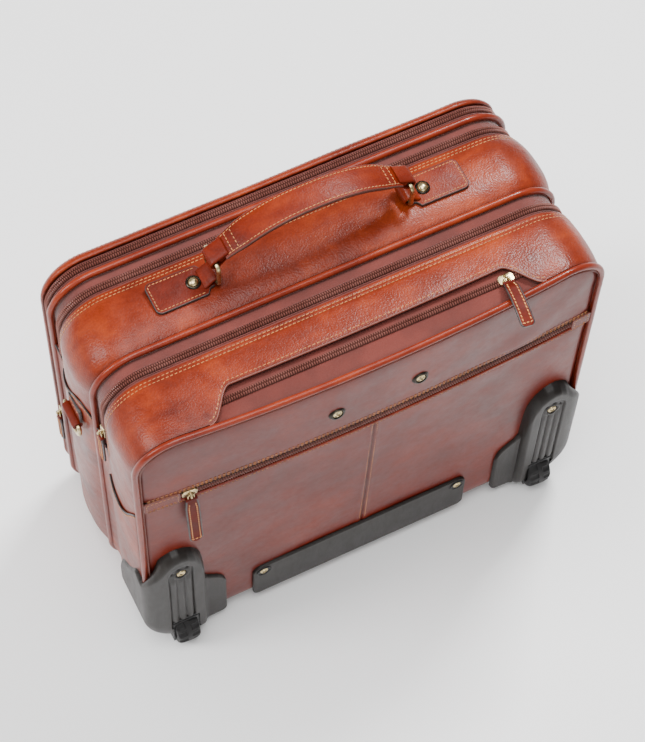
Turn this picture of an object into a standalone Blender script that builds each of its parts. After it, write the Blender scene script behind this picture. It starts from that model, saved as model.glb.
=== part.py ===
"""Rolling laptop case: a leather case on two wheels, with a telescopic trolley, three zipped sections,
a carry handle on square rings and a D-ring at each side.

Metres, +Z up. The wheel side faces +Y, the pocket side faces -Y, and the wheels and the two front feet
stand on z = 0. Depths are measured from the rear panel's plane towards the front.
"""
import math

import bmesh
import bpy
from mathutils import Matrix, Vector

# Driving dimensions of the leather body
CASE_WIDTH = 0.430
LEATHER_HEIGHT = 0.386          # rear top edge above the leather's bottom
FLOOR_GAP = 0.014               # leather's bottom above the floor
REAR_Y = 0.08285                # the rear panel's plane
TOP_FALL = 0.085                # the top falls by this share of the depth
TOP_RADIUS = 0.042
BOTTOM_RADIUS = 0.045
REAR_BOW = 0.012                # how far the rear top edge bows out in the middle
BOW_REACH = 0.045               # depth at which the bow has died away
LEATHER = 0.0024                # leather with its lining
REAR_CROWN = 0.0025             # how far the rear section swells between its seams
MIDDLE_CROWN = 0.006
PIPING_RADIUS = 0.003
GAP = 0.0004                    # clearance between pieces that touch

# Depths of the seams, rear to front
SLOT_FRONT = 0.0235             # front edge of the trolley slot in the top
SLOT_ZIP = 0.0158
REAR_END = 0.061                # the rear section's folded edge
ZIP_1 = 0.069
PIPING_B = 0.086
MIDDLE_START = 0.0894
MIDDLE_END = 0.152
ZIP_2 = 0.160
PIPING_C = 0.174
ZIP_3 = 0.1848
FRONT_START = 0.1900
FRONT_FACE = 0.2015
SIDE_ZIP_END = 0.285            # zips 1 and 2 run down the sides to this height above the leather's bottom
FRONT_ZIP_END = 0.115

# Rear panel
POCKET_ZIP_HEIGHT = 0.283
POCKET_ZIP_START = 0.170        # slider at rest
POCKET_ZIP_STOP = -0.185
KICK_HEIGHT = 0.057
KICK_HALF_WIDTH = 0.108
WASHER_X = 0.0385
WASHER_HEIGHT = 0.328

# Wheels
WHEEL_RADIUS = 0.025
WHEEL_WIDTH = 0.023
WHEEL_X = 0.184
WHEEL_DEPTH = 0.004
AXLE_RADIUS = 0.0025
HOUSING_TOP = 0.177
HOUSING_IN = 0.163
FLANGE_IN = 0.139

# Trolley
TUBE_X = 0.060
TUBE_DEPTH = 0.0128
TUBE_SIZES = ((0.0200, 0.0140), (0.0172, 0.0112), (0.0144, 0.0084))
TUBE_WALL = 0.0011
GRIP_HALF_WIDTH = 0.085
GRIP_TOP = 0.3768
GRIP_HEIGHT = 0.0222
BUTTON_LENGTH = 0.028
BUTTON_RISE = 0.0022

# Carry handle
HANDLE_DEPTH = 0.1225
RING_X = 0.0880
RING_SIZE = 0.0290
RING_BAR = 0.0036
RING_FOOT = 0.3885              # height of the ring's lower bar
HANDLE_RISE = 0.4460            # height of the handle's middle line at its highest
TAB_OUT = 0.144

DARK_PLASTIC = ("dark_plastic", (0.055, 0.052, 0.050), 0.45, 0.0)
LEATHER_RED = ("leather", (0.30, 0.075, 0.030), 0.35, 0.0)
LEATHER_TRIM = ("leather_trim", (0.33, 0.085, 0.030), 0.32, 0.0)
CANVAS = ("zip_tape", (0.20, 0.065, 0.050), 0.85, 0.0)
LINING = ("lining", (0.16, 0.12, 0.09), 0.90, 0.0)
BRASS = ("antique_brass", (0.50, 0.40, 0.22), 0.30, 1.0)
TUBE_METAL = ("trolley_tube", (0.55, 0.56, 0.58), 0.30, 1.0)
TYRE = ("wheel_rubber", (0.030, 0.028, 0.028), 0.60, 0.0)
STEEL = ("axle_steel", (0.50, 0.50, 0.52), 0.25, 1.0)
BOARD = ("stiffener", (0.12, 0.10, 0.09), 0.70, 0.0)

parts = None
cutters = None


# ---------------------------------------------------------------- scene and materials
def start_scene():
    """Empties the scene and makes the two collections."""
    global parts, cutters
    for obj in list(bpy.data.objects):
        bpy.data.objects.remove(obj, do_unlink=True)
    parts = bpy.data.collections.new("rolling_laptop_case")
    cutters = bpy.data.collections.new("cutters")
    bpy.context.scene.collection.children.link(parts)
    bpy.context.scene.collection.children.link(cutters)


def material(spec):
    name, colour, roughness, metallic = spec
    found = bpy.data.materials.get(name)
    if found:
        return found
    made = bpy.data.materials.new(name)
    made.use_nodes = True
    shader = made.node_tree.nodes["Principled BSDF"]
    shader.inputs["Base Color"].default_value = (*colour, 1.0)
    shader.inputs["Roughness"].default_value = roughness
    shader.inputs["Metallic"].default_value = metallic
    return made


def place(obj, spec):
    """Moves a new object into the parts, with its material."""
    for collection in list(obj.users_collection):
        collection.objects.unlink(obj)
    parts.objects.link(obj)
    obj.data.materials.clear()
    obj.data.materials.append(material(spec))
    return obj


def as_cutter(obj):
    for collection in list(obj.users_collection):
        collection.objects.unlink(obj)
    cutters.objects.link(obj)
    obj.hide_render = True
    obj.display_type = "WIRE"
    return obj


def height(above_leather_bottom):
    return FLOOR_GAP + above_leather_bottom


def at(x, depth, above):
    """A point from its depth and its height above the leather's bottom."""
    return Vector((x, REAR_Y - depth, height(above)))


# ---------------------------------------------------------------- shape of the leather body
def bow(x, above):
    """How far the rear panel stands out of its plane."""
    across = max(0.0, 1 - (x / (CASE_WIDTH / 2)) ** 2)
    up = (above - KICK_HEIGHT) / (LEATHER_HEIGHT - KICK_HEIGHT)
    return REAR_BOW * across * min(max(up, 0.0), 1.0)


def shell_point(x, depth, above):
    """A point of the leather body, carried out by the rear panel's bow."""
    reach = max(0.0, 1 - max(depth, 0.0) / BOW_REACH)
    return at(x, depth - bow(x, above) * reach, above)


def corner(cx, cz, radius, start, steps):
    """Points of a quarter circle, from the start angle in degrees."""
    angles = [math.radians(start + 90 * i / steps) for i in range(steps + 1)]
    return [(cx + radius * math.cos(a), cz + radius * math.sin(a)) for a in angles]


def between(a, b, count):
    """Points between a and b, without the two ends."""
    return [(a[0] + (b[0] - a[0]) * i / count, a[1] + (b[1] - a[1]) * i / count) for i in range(1, count)]


def outline(depth, offset, under=None, low=None, steps=5):
    """The body's outline at a depth, moved out by offset (by under at the bottom): a full ring, or,
    where low is given, an arch from that height on one side over the top to the other side."""
    half = CASE_WIDTH / 2 + offset
    top = LEATHER_HEIGHT - TOP_FALL * max(depth, 0.0) + offset
    radius = max(TOP_RADIUS + offset, 0.004)
    right = corner(half - radius, top - radius, radius, 0, steps)
    left = corner(-half + radius, top - radius, radius, 90, steps)
    over = right + between(right[-1], left[0], 8) + left
    if low is not None:
        return [(half, low)] + over + [(-half, low)]
    left_foot, right_foot = feet(half, offset, under, steps)
    return over + left_foot + right_foot


def feet(half, offset, under, steps):
    """The two rounded bottom corners."""
    radius = max(BOTTOM_RADIUS + offset, 0.004)
    low = radius - (offset if under is None else under)
    return corner(-half + radius, low, radius, 180, steps), corner(half - radius, low, radius, 270, steps)


def cradle(offset, under, high, steps=5):
    """The lower part of the outline: a U from a height on one side, under the body, to the other."""
    half = CASE_WIDTH / 2 + offset
    left_foot, right_foot = feet(half, offset, under, steps)
    return [(-half, high)] + left_foot + right_foot + [(half, high)]


def mesh_object(name, spec, bm):
    bmesh.ops.recalc_face_normals(bm, faces=bm.faces)
    mesh = bpy.data.meshes.new(name)
    bm.to_mesh(mesh)
    bm.free()
    obj = bpy.data.objects.new(name, mesh)
    bpy.context.scene.collection.objects.link(obj)
    return place(obj, spec)


def loft(name, spec, sections, cyclic=False):
    """A solid through sections that have the same number of points. Each section is a closed polygon."""
    bm = bmesh.new()
    rows = [[bm.verts.new(point) for point in section] for section in sections]
    count = len(rows[0])
    pairs = list(zip(rows, rows[1:]))
    if cyclic:
        pairs.append((rows[-1], rows[0]))
    for row, following in pairs:
        for j in range(count):
            k = (j + 1) % count
            bm.faces.new((row[j], row[k], following[k], following[j]))
    if not cyclic:
        bm.faces.new(rows[0])
        bm.faces.new(rows[-1])
    return mesh_object(name, spec, bm)


def strip(name, spec, profile, path, cyclic=False):
    """Sweeps a profile of (depth, offset, offset at the bottom) points along an outline function."""
    columns = [[shell_point(x, depth, z) for x, z in path(depth, offset, under)] for depth, offset, under in profile]
    sections = [[column[i] for column in columns] for i in range(len(columns[0]))]
    return loft(name, spec, sections, cyclic)


def band_profile(start, end, crown, thickness=LEATHER):
    """A leather band's profile between two seams, swollen in the middle."""
    steps = 4
    outer = []
    for i in range(steps + 1):
        share = i / steps
        outer.append((start + (end - start) * share, crown * math.sin(math.pi * share), 0.0))
    inner = [(depth, offset - thickness, -thickness) for depth, offset, under in reversed(outer)]
    return outer + inner


def zip_half_profile(tape_edge, centre):
    """Tape with half a coil on it, from the tape's edge to the middle of the zip."""
    side = 1 if tape_edge > centre else -1
    meet = centre + side * 0.0002
    coil = centre + side * 0.0034
    low, tape, top = -0.0044, -0.0036, -0.0012
    rows = [(tape_edge, low), (tape_edge, tape), (coil, tape), (coil, top), (meet, top), (meet, low)]
    return [(depth, offset, offset) for depth, offset in rows]


# ---------------------------------------------------------------- general solids
def box(name, spec, low, high, bevel=0.0, segments=1):
    """A box between two corners, with rounded edges where bevel is given."""
    low, high = Vector(low), Vector(high)
    bpy.ops.mesh.primitive_cube_add(size=1, location=(low + high) / 2)
    obj = bpy.context.object
    obj.name = name
    obj.data.name = name
    obj.data.transform(Matrix.Diagonal((*(high - low), 1.0)))
    if bevel:
        edge = obj.modifiers.new("rounded", "BEVEL")
        edge.width = bevel
        edge.segments = segments
    return place(obj, spec) if spec else obj


def depth_box(name, spec, xs, depths, heights, bevel=0.0, segments=1):
    """A box given by its ranges of x, depth and height above the leather's bottom."""
    low = (xs[0], REAR_Y - depths[1], height(heights[0]))
    high = (xs[1], REAR_Y - depths[0], height(heights[1]))
    return box(name, spec, low, high, bevel, segments)


def cylinder(name, spec, centre, radius, length, axis, sides=24, bevel=0.0):
    turn = {"X": (0, math.pi / 2, 0), "Y": (math.pi / 2, 0, 0), "Z": (0, 0, 0)}[axis]
    bpy.ops.mesh.primitive_cylinder_add(vertices=sides, radius=radius, depth=length, location=centre, rotation=turn)
    obj = bpy.context.object
    obj.name = name
    obj.data.name = name
    if bevel:
        edge = obj.modifiers.new("rounded", "BEVEL")
        edge.width = bevel
        edge.segments = 1
        edge.limit_method = "ANGLE"
    return place(obj, spec) if spec else obj


def turned(name, spec, profile, centre, axis="Z", steps=24):
    """A turned solid: the profile, (radius, height) points from top to bottom, about an axis. A profile
    that starts off the axis is closed into a ring."""
    mesh = bpy.data.meshes.new(name)
    verts = [(radius, 0.0, along) for radius, along in profile]
    edges = [(i, i + 1) for i in range(len(verts) - 1)]
    if profile[0][0] > 0:
        edges.append((len(verts) - 1, 0))
    mesh.from_pydata(verts, edges, [])
    obj = bpy.data.objects.new(name, mesh)
    bpy.context.scene.collection.objects.link(obj)
    screw = obj.modifiers.new("turned", "SCREW")
    screw.steps = steps
    screw.render_steps = steps
    screw.use_merge_vertices = True
    screw.merge_threshold = 0.00001
    obj.location = centre
    obj.rotation_euler = {"X": (0, math.pi / 2, 0), "Y": (-math.pi / 2, 0, 0), "Z": (0, 0, 0)}[axis]
    return place(obj, spec)


def plate(name, spec, points, thickness, to_world, bevel=0.0):
    """A flat outline given by 2D points, extruded evenly about its plane and put in place by a matrix."""
    curve = bpy.data.curves.new(name, "CURVE")
    curve.dimensions = "2D"
    curve.fill_mode = "BOTH"
    curve.extrude = thickness / 2
    spline = curve.splines.new("POLY")
    spline.points.add(len(points) - 1)
    for target, (u, v) in zip(spline.points, points):
        target.co = (u, v, 0, 1)
    spline.use_cyclic_u = True
    flat = bpy.data.objects.new(name + "_outline", curve)
    bpy.context.scene.collection.objects.link(flat)
    flat.matrix_world = to_world
    return curve_to_mesh(flat, name, spec, bevel)


def curve_to_mesh(flat, name, spec, bevel=0.0):
    """Replaces a curve object by a welded mesh object."""
    bpy.context.view_layer.update()
    evaluated = flat.evaluated_get(bpy.context.evaluated_depsgraph_get())
    mesh = bpy.data.meshes.new_from_object(evaluated)
    bm = bmesh.new()
    bm.from_mesh(mesh)
    bmesh.ops.remove_doubles(bm, verts=bm.verts, dist=0.000001)
    bmesh.ops.recalc_face_normals(bm, faces=bm.faces)
    bm.to_mesh(mesh)
    bm.free()
    obj = bpy.data.objects.new(name, mesh)
    bpy.context.scene.collection.objects.link(obj)
    obj.matrix_world = flat.matrix_world.copy()
    bpy.data.objects.remove(flat, do_unlink=True)
    if bevel:
        edge = obj.modifiers.new("rounded", "BEVEL")
        edge.width = bevel
        edge.segments = 1
        edge.limit_method = "ANGLE"
    return place(obj, spec) if spec else obj


def wire(name, spec, points, radius, cyclic):
    """A round wire or cord through points."""
    curve = bpy.data.curves.new(name, "CURVE")
    curve.dimensions = "3D"
    curve.bevel_depth = radius
    curve.bevel_resolution = 1
    curve.use_fill_caps = not cyclic
    spline = curve.splines.new("POLY")
    spline.points.add(len(points) - 1)
    for target, point in zip(spline.points, points):
        target.co = (*point, 1)
    spline.use_cyclic_u = cyclic
    obj = bpy.data.objects.new(name + "_path", curve)
    bpy.context.scene.collection.objects.link(obj)
    return curve_to_mesh(obj, name, spec)


def boolean(obj, tool, operation="DIFFERENCE"):
    """Cuts or joins obj with a tool, which stays as a cutter."""
    as_cutter(tool)
    step = obj.modifiers.new(operation.lower(), "BOOLEAN")
    step.operation = operation
    step.object = tool
    step.solver = "EXACT"
    return obj


def facing_rear(x, depth, above):
    """Frame for an outline seen on the rear face: u along +X, v along +Z, thickness along Y."""
    return Matrix.Translation(at(x, depth, above)) @ Matrix.Rotation(math.pi / 2, 4, "X")


def facing_side(x):
    """Frame for an outline seen from the side: u along +Y, v along +Z, thickness along X."""
    return Matrix.Translation((x, 0, 0)) @ Matrix(((0, 0, 1, 0), (1, 0, 0, 0), (0, 1, 0, 0), (0, 0, 0, 1)))


def set_origin(obj, point):
    """Moves an object's origin to a joint's axis, leaving its shape in place."""
    bpy.context.view_layer.update()
    shift = Vector(point) - obj.matrix_world.translation
    local = obj.matrix_world.inverted().to_3x3() @ shift
    obj.data.transform(Matrix.Translation(-local))
    obj.location = Vector(point)
    return obj


def rounded(cx, cy, half_w, half_h, radius, steps=3):
    """A rounded rectangle's points, counter-clockwise."""
    out = []
    for sx, sy, start in ((1, 1, 0), (-1, 1, 90), (-1, -1, 180), (1, -1, 270)):
        out += corner(cx + sx * (half_w - radius), cy + sy * (half_h - radius), radius, start, steps)
    return out


# ---------------------------------------------------------------- rear section
def bowed_sheet(name, spec, points, depth, thickness):
    """A sheet cut to an outline of (x, height) points and bowed with the rear panel."""
    bm = bmesh.new()
    bm.faces.new([bm.verts.new((x, 0, z)) for x, z in points])
    cuts = [((x * 0.043, 0, 0), (1, 0, 0)) for x in range(-4, 5)]
    cuts += [((0, 0, z * 0.055), (0, 0, 1)) for z in range(1, 7)]
    for where, normal in cuts:
        everything = bm.verts[:] + bm.edges[:] + bm.faces[:]
        bmesh.ops.bisect_plane(bm, geom=everything, plane_co=where, plane_no=normal)
    bmesh.ops.triangulate(bm, faces=bm.faces)
    for vert in bm.verts:
        vert.co = at(vert.co.x, depth - bow(vert.co.x, vert.co.z), vert.co.z)
    bmesh.ops.recalc_face_normals(bm, faces=bm.faces)
    if sum(face.normal.y for face in bm.faces) < 0:
        bmesh.ops.reverse_faces(bm, faces=bm.faces)
    mesh = bpy.data.meshes.new(name)
    bm.to_mesh(mesh)
    bm.free()
    obj = bpy.data.objects.new(name, mesh)
    bpy.context.scene.collection.objects.link(obj)
    thick = obj.modifiers.new("thickness", "SOLIDIFY")
    thick.thickness = thickness
    thick.offset = -1
    return place(obj, spec)


def cut_between(points, low, high):
    """The part of an outline between two heights."""
    bm = bmesh.new()
    bm.faces.new([bm.verts.new((x, 0, z)) for x, z in points])
    for limit, keep_above in ((low, True), (high, False)):
        bmesh.ops.bisect_plane(
            bm, geom=bm.verts[:] + bm.edges[:] + bm.faces[:], plane_co=(0, 0, limit), plane_no=(0, 0, 1),
            clear_inner=keep_above, clear_outer=not keep_above)
    edges = [edge for edge in bm.edges if len(edge.link_faces) < 2]
    if not bm.faces or len(bm.faces) != 1:
        raise RuntimeError("the outline was cut into several pieces")
    kept = [(loop.vert.co.x, loop.vert.co.z) for loop in bm.faces[:][0].loops]
    assert len(edges) == len(kept)
    bm.free()
    return kept


def wheel_well_tool(side, name):
    """Room for a wheel and its housing inside the leather's rear bottom corner."""
    middle = side * WHEEL_X
    return depth_box(name, None, (middle - 0.0215, middle + 0.0215), (-0.03, 0.0355), (-0.03, 0.0445))


def rear_panels():
    whole = outline(0.0, -PIPING_RADIUS - 0.0008)
    slit = 0.0058
    upper = cut_between(whole, POCKET_ZIP_HEIGHT + slit, 1.0)
    lower = cut_between(whole, -1.0, POCKET_ZIP_HEIGHT - slit)
    upper_panel = bowed_sheet("rear_panel_upper", LEATHER_RED, upper, 0.0, 0.002)
    for side, word in ((1, "left"), (-1, "right")):
        hole = cylinder(f"washer_hole_{word}", None, at(side * WASHER_X, 0, WASHER_HEIGHT), 0.0026, 0.06, "Y", 12)
        boolean(upper_panel, hole)
    lower_panel = bowed_sheet("rear_pocket_panel", LEATHER_RED, lower, 0.0, 0.002)
    for side, word in ((1, "left"), (-1, "right")):
        boolean(lower_panel, wheel_well_tool(side, f"panel_well_{word}"))
    return upper_panel, lower_panel


def rear_zip():
    """The pocket's tape and coil, lying just behind the slit and bowed with the panel."""
    half_tape, half_coil = 0.0125, 0.0035
    profile = [(-half_tape, 0.0034), (-half_tape, 0.0026), (-half_coil, 0.0026), (-half_coil, 0.0004),
               (half_coil, 0.0004), (half_coil, 0.0026), (half_tape, 0.0026), (half_tape, 0.0034)]
    sections = []
    for i in range(-9, 10):
        x = i * 0.0228
        sections.append([at(x, depth - bow(x, POCKET_ZIP_HEIGHT), POCKET_ZIP_HEIGHT + up) for up, depth in profile])
    return loft("rear_pocket_zip", CANVAS, sections)


def rear_band():
    band = strip("rear_gusset", LEATHER_RED, band_profile(0.0049, REAR_END, REAR_CROWN), outline, cyclic=True)
    slot = depth_box("slot_opening", None, (-0.135, 0.135), (-0.05, SLOT_FRONT), (0.36, 0.42), 0.018, 4)
    boolean(band, slot)
    for side, word in ((1, "left"), (-1, "right")):
        boolean(band, wheel_well_tool(side, f"band_well_{word}"))
    return band


def rear_piping():
    """The piped edge, which runs into the wheel housing at each side."""
    path = outline(0.0016, -0.0006, low=0.130)
    first = path[0]
    last = path[-1]
    path = [first, (first[0], 0.20), (first[0], 0.27)] + path[1:-1] + [(last[0], 0.27), (last[0], 0.20), last]
    return wire("rear_piping", LEATHER_TRIM, [shell_point(x, 0.0016, z) for x, z in path], PIPING_RADIUS, False)


def slot_zip():
    """The zip over the trolley slot: a tape with half the coil on either side."""
    top = LEATHER_HEIGHT - 0.0052
    for word, side in (("rear", -1), ("front", 1)):
        meet = SLOT_ZIP + side * 0.0002
        coil = SLOT_ZIP + side * 0.0034
        sections = []
        for i in range(-6, 7):
            x = 0.0222 * i
            edge = SLOT_ZIP + 0.0114 if side > 0 else 0.0054 - bow(x, LEATHER_HEIGHT)
            profile = [(edge, top - 0.0008), (edge, top), (coil, top), (coil, top + 0.0022),
                       (meet, top + 0.0022), (meet, top - 0.0008)]
            sections.append([at(x, depth, z) for depth, z in profile])
        loft(f"slot_zip_{word}", CANVAS, sections)


def inner_sheet(name, spec, depth, thickness, inset):
    """A flat sheet inside the case, cut to the outline less an inset."""
    points = outline(depth, -inset, steps=3)
    return plate(name, spec, points, thickness, facing_rear(0, depth, 0))


def rear_inside():
    """The cover in front of the trolley, and the padded sleeve that holds the laptop."""
    inner_sheet("trolley_cover_panel", LINING, 0.0285, 0.0016, 0.0046)
    for side, word in ((1, "left"), (-1, "right")):
        boolean(bpy.data.objects["trolley_cover_panel"], wheel_well_tool(side, f"cover_well_{word}"))
    depth_box("laptop_sleeve", LINING, (-0.180, 0.180), (0.0500, 0.0556), (0.010, 0.262), 0.002, 2)


# ---------------------------------------------------------------- zips that join the sections
def arch_path(low):
    return lambda depth, offset, under: outline(depth, offset, low=low)


def cradle_path(high):
    return lambda depth, offset, under: cradle(offset, under, high)


def section_zips():
    strip("zip_1_rear_tape", CANVAS, zip_half_profile(0.0552, ZIP_1), arch_path(SIDE_ZIP_END))
    strip("zip_1_middle_tape", CANVAS, zip_half_profile(0.0826, ZIP_1), arch_path(SIDE_ZIP_END))
    strip("zip_2_middle_tape", CANVAS, zip_half_profile(0.1462, ZIP_2), arch_path(SIDE_ZIP_END))
    strip("zip_2_front_tape", CANVAS, zip_half_profile(0.1706, ZIP_2), arch_path(SIDE_ZIP_END))
    strip("zip_3_rear_tape", CANVAS, zip_half_profile(0.1774, ZIP_3), arch_path(FRONT_ZIP_END))
    strip("zip_3_front_tape", CANVAS, zip_half_profile(0.1896, ZIP_3), arch_path(FRONT_ZIP_END))


def lower_gussets():
    """Leather that closes the seams below the ends of the zips."""
    rows = (("lower_gusset_rear", REAR_END + GAP, 0.0826, SIDE_ZIP_END),
            ("lower_gusset_middle", MIDDLE_END + GAP, 0.1706, SIDE_ZIP_END),
            ("lower_gusset_front", 0.1774, 0.1896, FRONT_ZIP_END))
    for name, start, end, top in rows:
        profile = band_profile(start, end, -0.0006)
        strip(name, LEATHER_RED, profile, cradle_path(top - GAP))


# ---------------------------------------------------------------- middle section and front
def ring_cord(name, depth):
    points = [at(x, depth, z) for x, z in outline(depth, -0.0006)]
    return wire(name, LEATHER_TRIM, points, PIPING_RADIUS, True)


def middle_section():
    strip("middle_gusset", LEATHER_RED, band_profile(MIDDLE_START, MIDDLE_END, MIDDLE_CROWN), outline, cyclic=True)
    ring_cord("middle_piping", PIPING_B)
    inner_sheet("middle_back_panel", LINING, 0.0915, 0.0016, 0.0060)


def front_sections():
    ring_cord("front_piping", PIPING_C)
    inner_sheet("organiser_panel", LINING, 0.1742, 0.0020, 0.0046)
    front_panel()


def front_panel():
    """The front: a dished leather panel whose rim turns back to the front zip."""
    steps = ((FRONT_START, 0.0), (0.1945, -0.0004), (0.1985, -0.0035), (FRONT_FACE, -0.0120), (0.2035, -0.035))
    bm = bmesh.new()
    rows = []
    for depth, offset in steps:
        rows.append([bm.verts.new(at(x, depth, z)) for x, z in outline(0.195, offset)])
    count = len(rows[0])
    for row, following in zip(rows, rows[1:]):
        for j in range(count):
            k = (j + 1) % count
            bm.faces.new((row[j], row[k], following[k], following[j]))
    bm.faces.new(rows[-1])
    bmesh.ops.recalc_face_normals(bm, faces=bm.faces)
    if bm.faces[-1].normal.y > 0:
        bmesh.ops.reverse_faces(bm, faces=bm.faces)
    mesh = bpy.data.meshes.new("front_panel")
    bm.to_mesh(mesh)
    bm.free()
    obj = bpy.data.objects.new("front_panel", mesh)
    bpy.context.scene.collection.objects.link(obj)
    thick = obj.modifiers.new("thickness", "SOLIDIFY")
    thick.thickness = LEATHER
    thick.offset = -1
    return place(obj, LEATHER_RED)


# ---------------------------------------------------------------- base, wheels and housings
def base():
    depth_box("base_board", BOARD, (-0.160, 0.160), (0.0100, 0.1780), (-0.0062, -0.0030), 0.0012)
    for side, word in ((1, "left"), (-1, "right")):
        profile = [(0.0, -0.0065), (0.0125, -0.0065), (0.0125, -0.0080), (0.0105, -0.0132), (0.0095, -0.0140),
                   (0.0, -0.0140)]
        turned(f"front_foot_{word}", DARK_PLASTIC, profile, at(side * 0.135, 0.160, 0), steps=20)
    points = rounded(0, KICK_HEIGHT / 2, KICK_HALF_WIDTH, KICK_HEIGHT / 2, 0.008)
    plate("kick_plate", DARK_PLASTIC, points, 0.003, facing_rear(0, -0.0020, 0), bevel=0.0007)


def screw(name, seat, head_radius, shank_radius, shank_length):
    """A dome-headed screw whose head sits just off the seat and whose shank runs into the case."""
    rise = 0.0016
    profile = [(0.0, rise + 0.0003), (head_radius * 0.55, rise), (head_radius, 0.0006), (head_radius, 0.0003),
               (shank_radius, 0.0003), (shank_radius, -shank_length), (0.0, -shank_length)]
    return turned(name, BRASS, profile, seat, axis="Y", steps=12)


def housing_outline():
    """The housing's plate on the rear face, as (x, height) for the +X side."""
    arch = corner(0.190, HOUSING_TOP - 0.026, 0.026, 0, 5)
    arch = [(min(x, 0.2150), z) for x, z in arch]
    under = corner(0.215 - BOTTOM_RADIUS, BOTTOM_RADIUS, BOTTOM_RADIUS + 0.0054, 270, 5)
    points = under[1:] + [(0.2204, 0.138), (0.2150, 0.150)] + arch[1:]
    points += corner(HOUSING_IN + 0.014, HOUSING_TOP - 0.014, 0.014, 90, 3)
    points += [(HOUSING_IN, 0.098), (0.155, 0.084), (0.143, 0.074), (FLANGE_IN, 0.062), (FLANGE_IN, 0.004),
               (FLANGE_IN + 0.006, -0.0035), (0.168, -0.0035)]
    return points


def pod_side_profile():
    """The pod seen from the side, as (y, z)."""
    rows = [(-0.0035, 0.177), (-0.0070, 0.173), (-0.0105, 0.164), (-0.0120, 0.150), (-0.0124, 0.100),
            (-0.0120, 0.036), (-0.0110, 0.010), (-0.0060, -0.002), (0.0060, -0.0035),
            (0.0300, -0.0035), (0.0335, 0.004), (0.0335, 0.0425), (-0.0008, 0.0425), (-0.0008, 0.060),
            (-0.0022, 0.062)]
    return [(REAR_Y - depth, height(z)) for depth, z in rows]


def pod_front_outline():
    """The pod seen on the rear face, as (x, height) for the +X side."""
    low, high = HOUSING_IN + 0.0005, 0.2048
    arch = corner(high - 0.0205, HOUSING_TOP - 0.0215, 0.0205, 0, 5)
    arch += corner(low + 0.0135, HOUSING_TOP - 0.0145, 0.0135, 90, 4)
    return [(low, -0.010), (high, -0.010)] + arch


def mirrored(points, side):
    return [(side * x, z) for x, z in points]


def housing(side, word):
    """Corner guard, wheel pod and inner wheel well in one moulding."""
    body = plate(f"wheel_housing_{word}", DARK_PLASTIC, mirrored(housing_outline(), side), 0.0028,
                 facing_rear(0, -0.0040, 0))
    pod = plate(f"pod_{word}", None, pod_side_profile(), 0.0413, facing_side(side * 0.1842))
    trim = plate(f"pod_trim_{word}", None, mirrored(pod_front_outline(), side), 0.2, facing_rear(0, 0, 0))
    boolean(pod, trim, "INTERSECT")
    boolean(body, pod, "UNION")
    wrap = [(-0.0050, 0.030), (-0.0050, 0.136), (0.0060, 0.128), (0.0085, 0.140), (0.0200, 0.120),
            (0.0470, 0.084), (0.0530, 0.074), (0.0530, 0.030)]
    wrap = [(REAR_Y - depth, height(z)) for depth, z in wrap]
    cheek = plate(f"cheek_{word}", None, wrap, 0.0026, facing_side(side * 0.2193))
    boolean(body, cheek, "UNION")
    corner_guard(side, word, body)
    cavity(side, word, body)
    return body


def corner_guard(side, word, body):
    """The part that turns under the case's rounded bottom corner."""
    sections = []
    for depth in (-0.0050, 0.0530):
        inner = corner(0.215 - BOTTOM_RADIUS, BOTTOM_RADIUS, BOTTOM_RADIUS + 0.0030, 270, 6)
        outer = corner(0.215 - BOTTOM_RADIUS, BOTTOM_RADIUS, BOTTOM_RADIUS + 0.0056, 270, 6)
        ring = inner + list(reversed(outer))
        sections.append([at(side * x, depth, z) for x, z in ring])
    guard = loft(f"guard_{word}", DARK_PLASTIC, sections)
    boolean(body, guard, "UNION")


def cavity(side, word, body):
    """Hollows the pod for the wheel and its screw, and leaves the wheel's pin across it."""
    axle = Vector((side * WHEEL_X, REAR_Y - WHEEL_DEPTH, WHEEL_RADIUS))
    width = WHEEL_WIDTH + 0.0032
    boolean(body, cylinder(f"wheel_room_{word}", None, axle, WHEEL_RADIUS + 0.0022, width, "X", 36))
    low = axle + Vector((-width / 2, -WHEEL_RADIUS - 0.0022, -0.04))
    high = axle + Vector((width / 2, WHEEL_RADIUS + 0.0022, 0))
    boolean(body, box(f"wheel_exit_{word}", None, low, high))
    low = axle + Vector((-width / 2, 0.0060, -0.04))
    high = axle + Vector((width / 2, 0.05, 0.0230))
    boolean(body, box(f"wheel_window_{word}", None, low, high))
    boolean(body, cylinder(f"axle_pin_{word}", None, axle, AXLE_RADIUS, 0.0300, "X", 16), "UNION")
    seat = Vector((side * 0.1854, REAR_Y + 0.0125, height(0.1415)))
    boolean(body, cylinder(f"screw_recess_{word}", None, seat, 0.0052, 0.0040, "Y", 20))
    boolean(body, cylinder(f"screw_bore_{word}", None, seat, 0.0019, 0.0200, "Y", 10))
    screw(f"housing_screw_{word}", seat - Vector((0, 0.0020, 0)), 0.0042, 0.0016, 0.0070)


def wheels():
    for side, word in ((1, "left"), (-1, "right")):
        housing(side, word)
        centre = Vector((side * WHEEL_X, REAR_Y - WHEEL_DEPTH, WHEEL_RADIUS))
        half = WHEEL_WIDTH / 2
        bore = AXLE_RADIUS + 0.0003
        profile = [(bore, half), (0.0170, half), (0.0185, half - 0.0012), (0.0225, half - 0.0012),
                   (WHEEL_RADIUS - 0.0008, half - 0.0030), (WHEEL_RADIUS, half - 0.0060)]
        profile += [(radius, -along) for radius, along in reversed(profile)]
        turned(f"wheel_{word}", TYRE, profile, centre, axis="X", steps=36)


# ---------------------------------------------------------------- trolley
def tube_solid(name, x, size, low, high):
    points = rounded(0, 0, size[0] / 2, size[1] / 2, 0.0030, 2)
    return plate(name, None, points, high - low, Matrix.Translation(at(x, TUBE_DEPTH, (low + high) / 2)))


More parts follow.
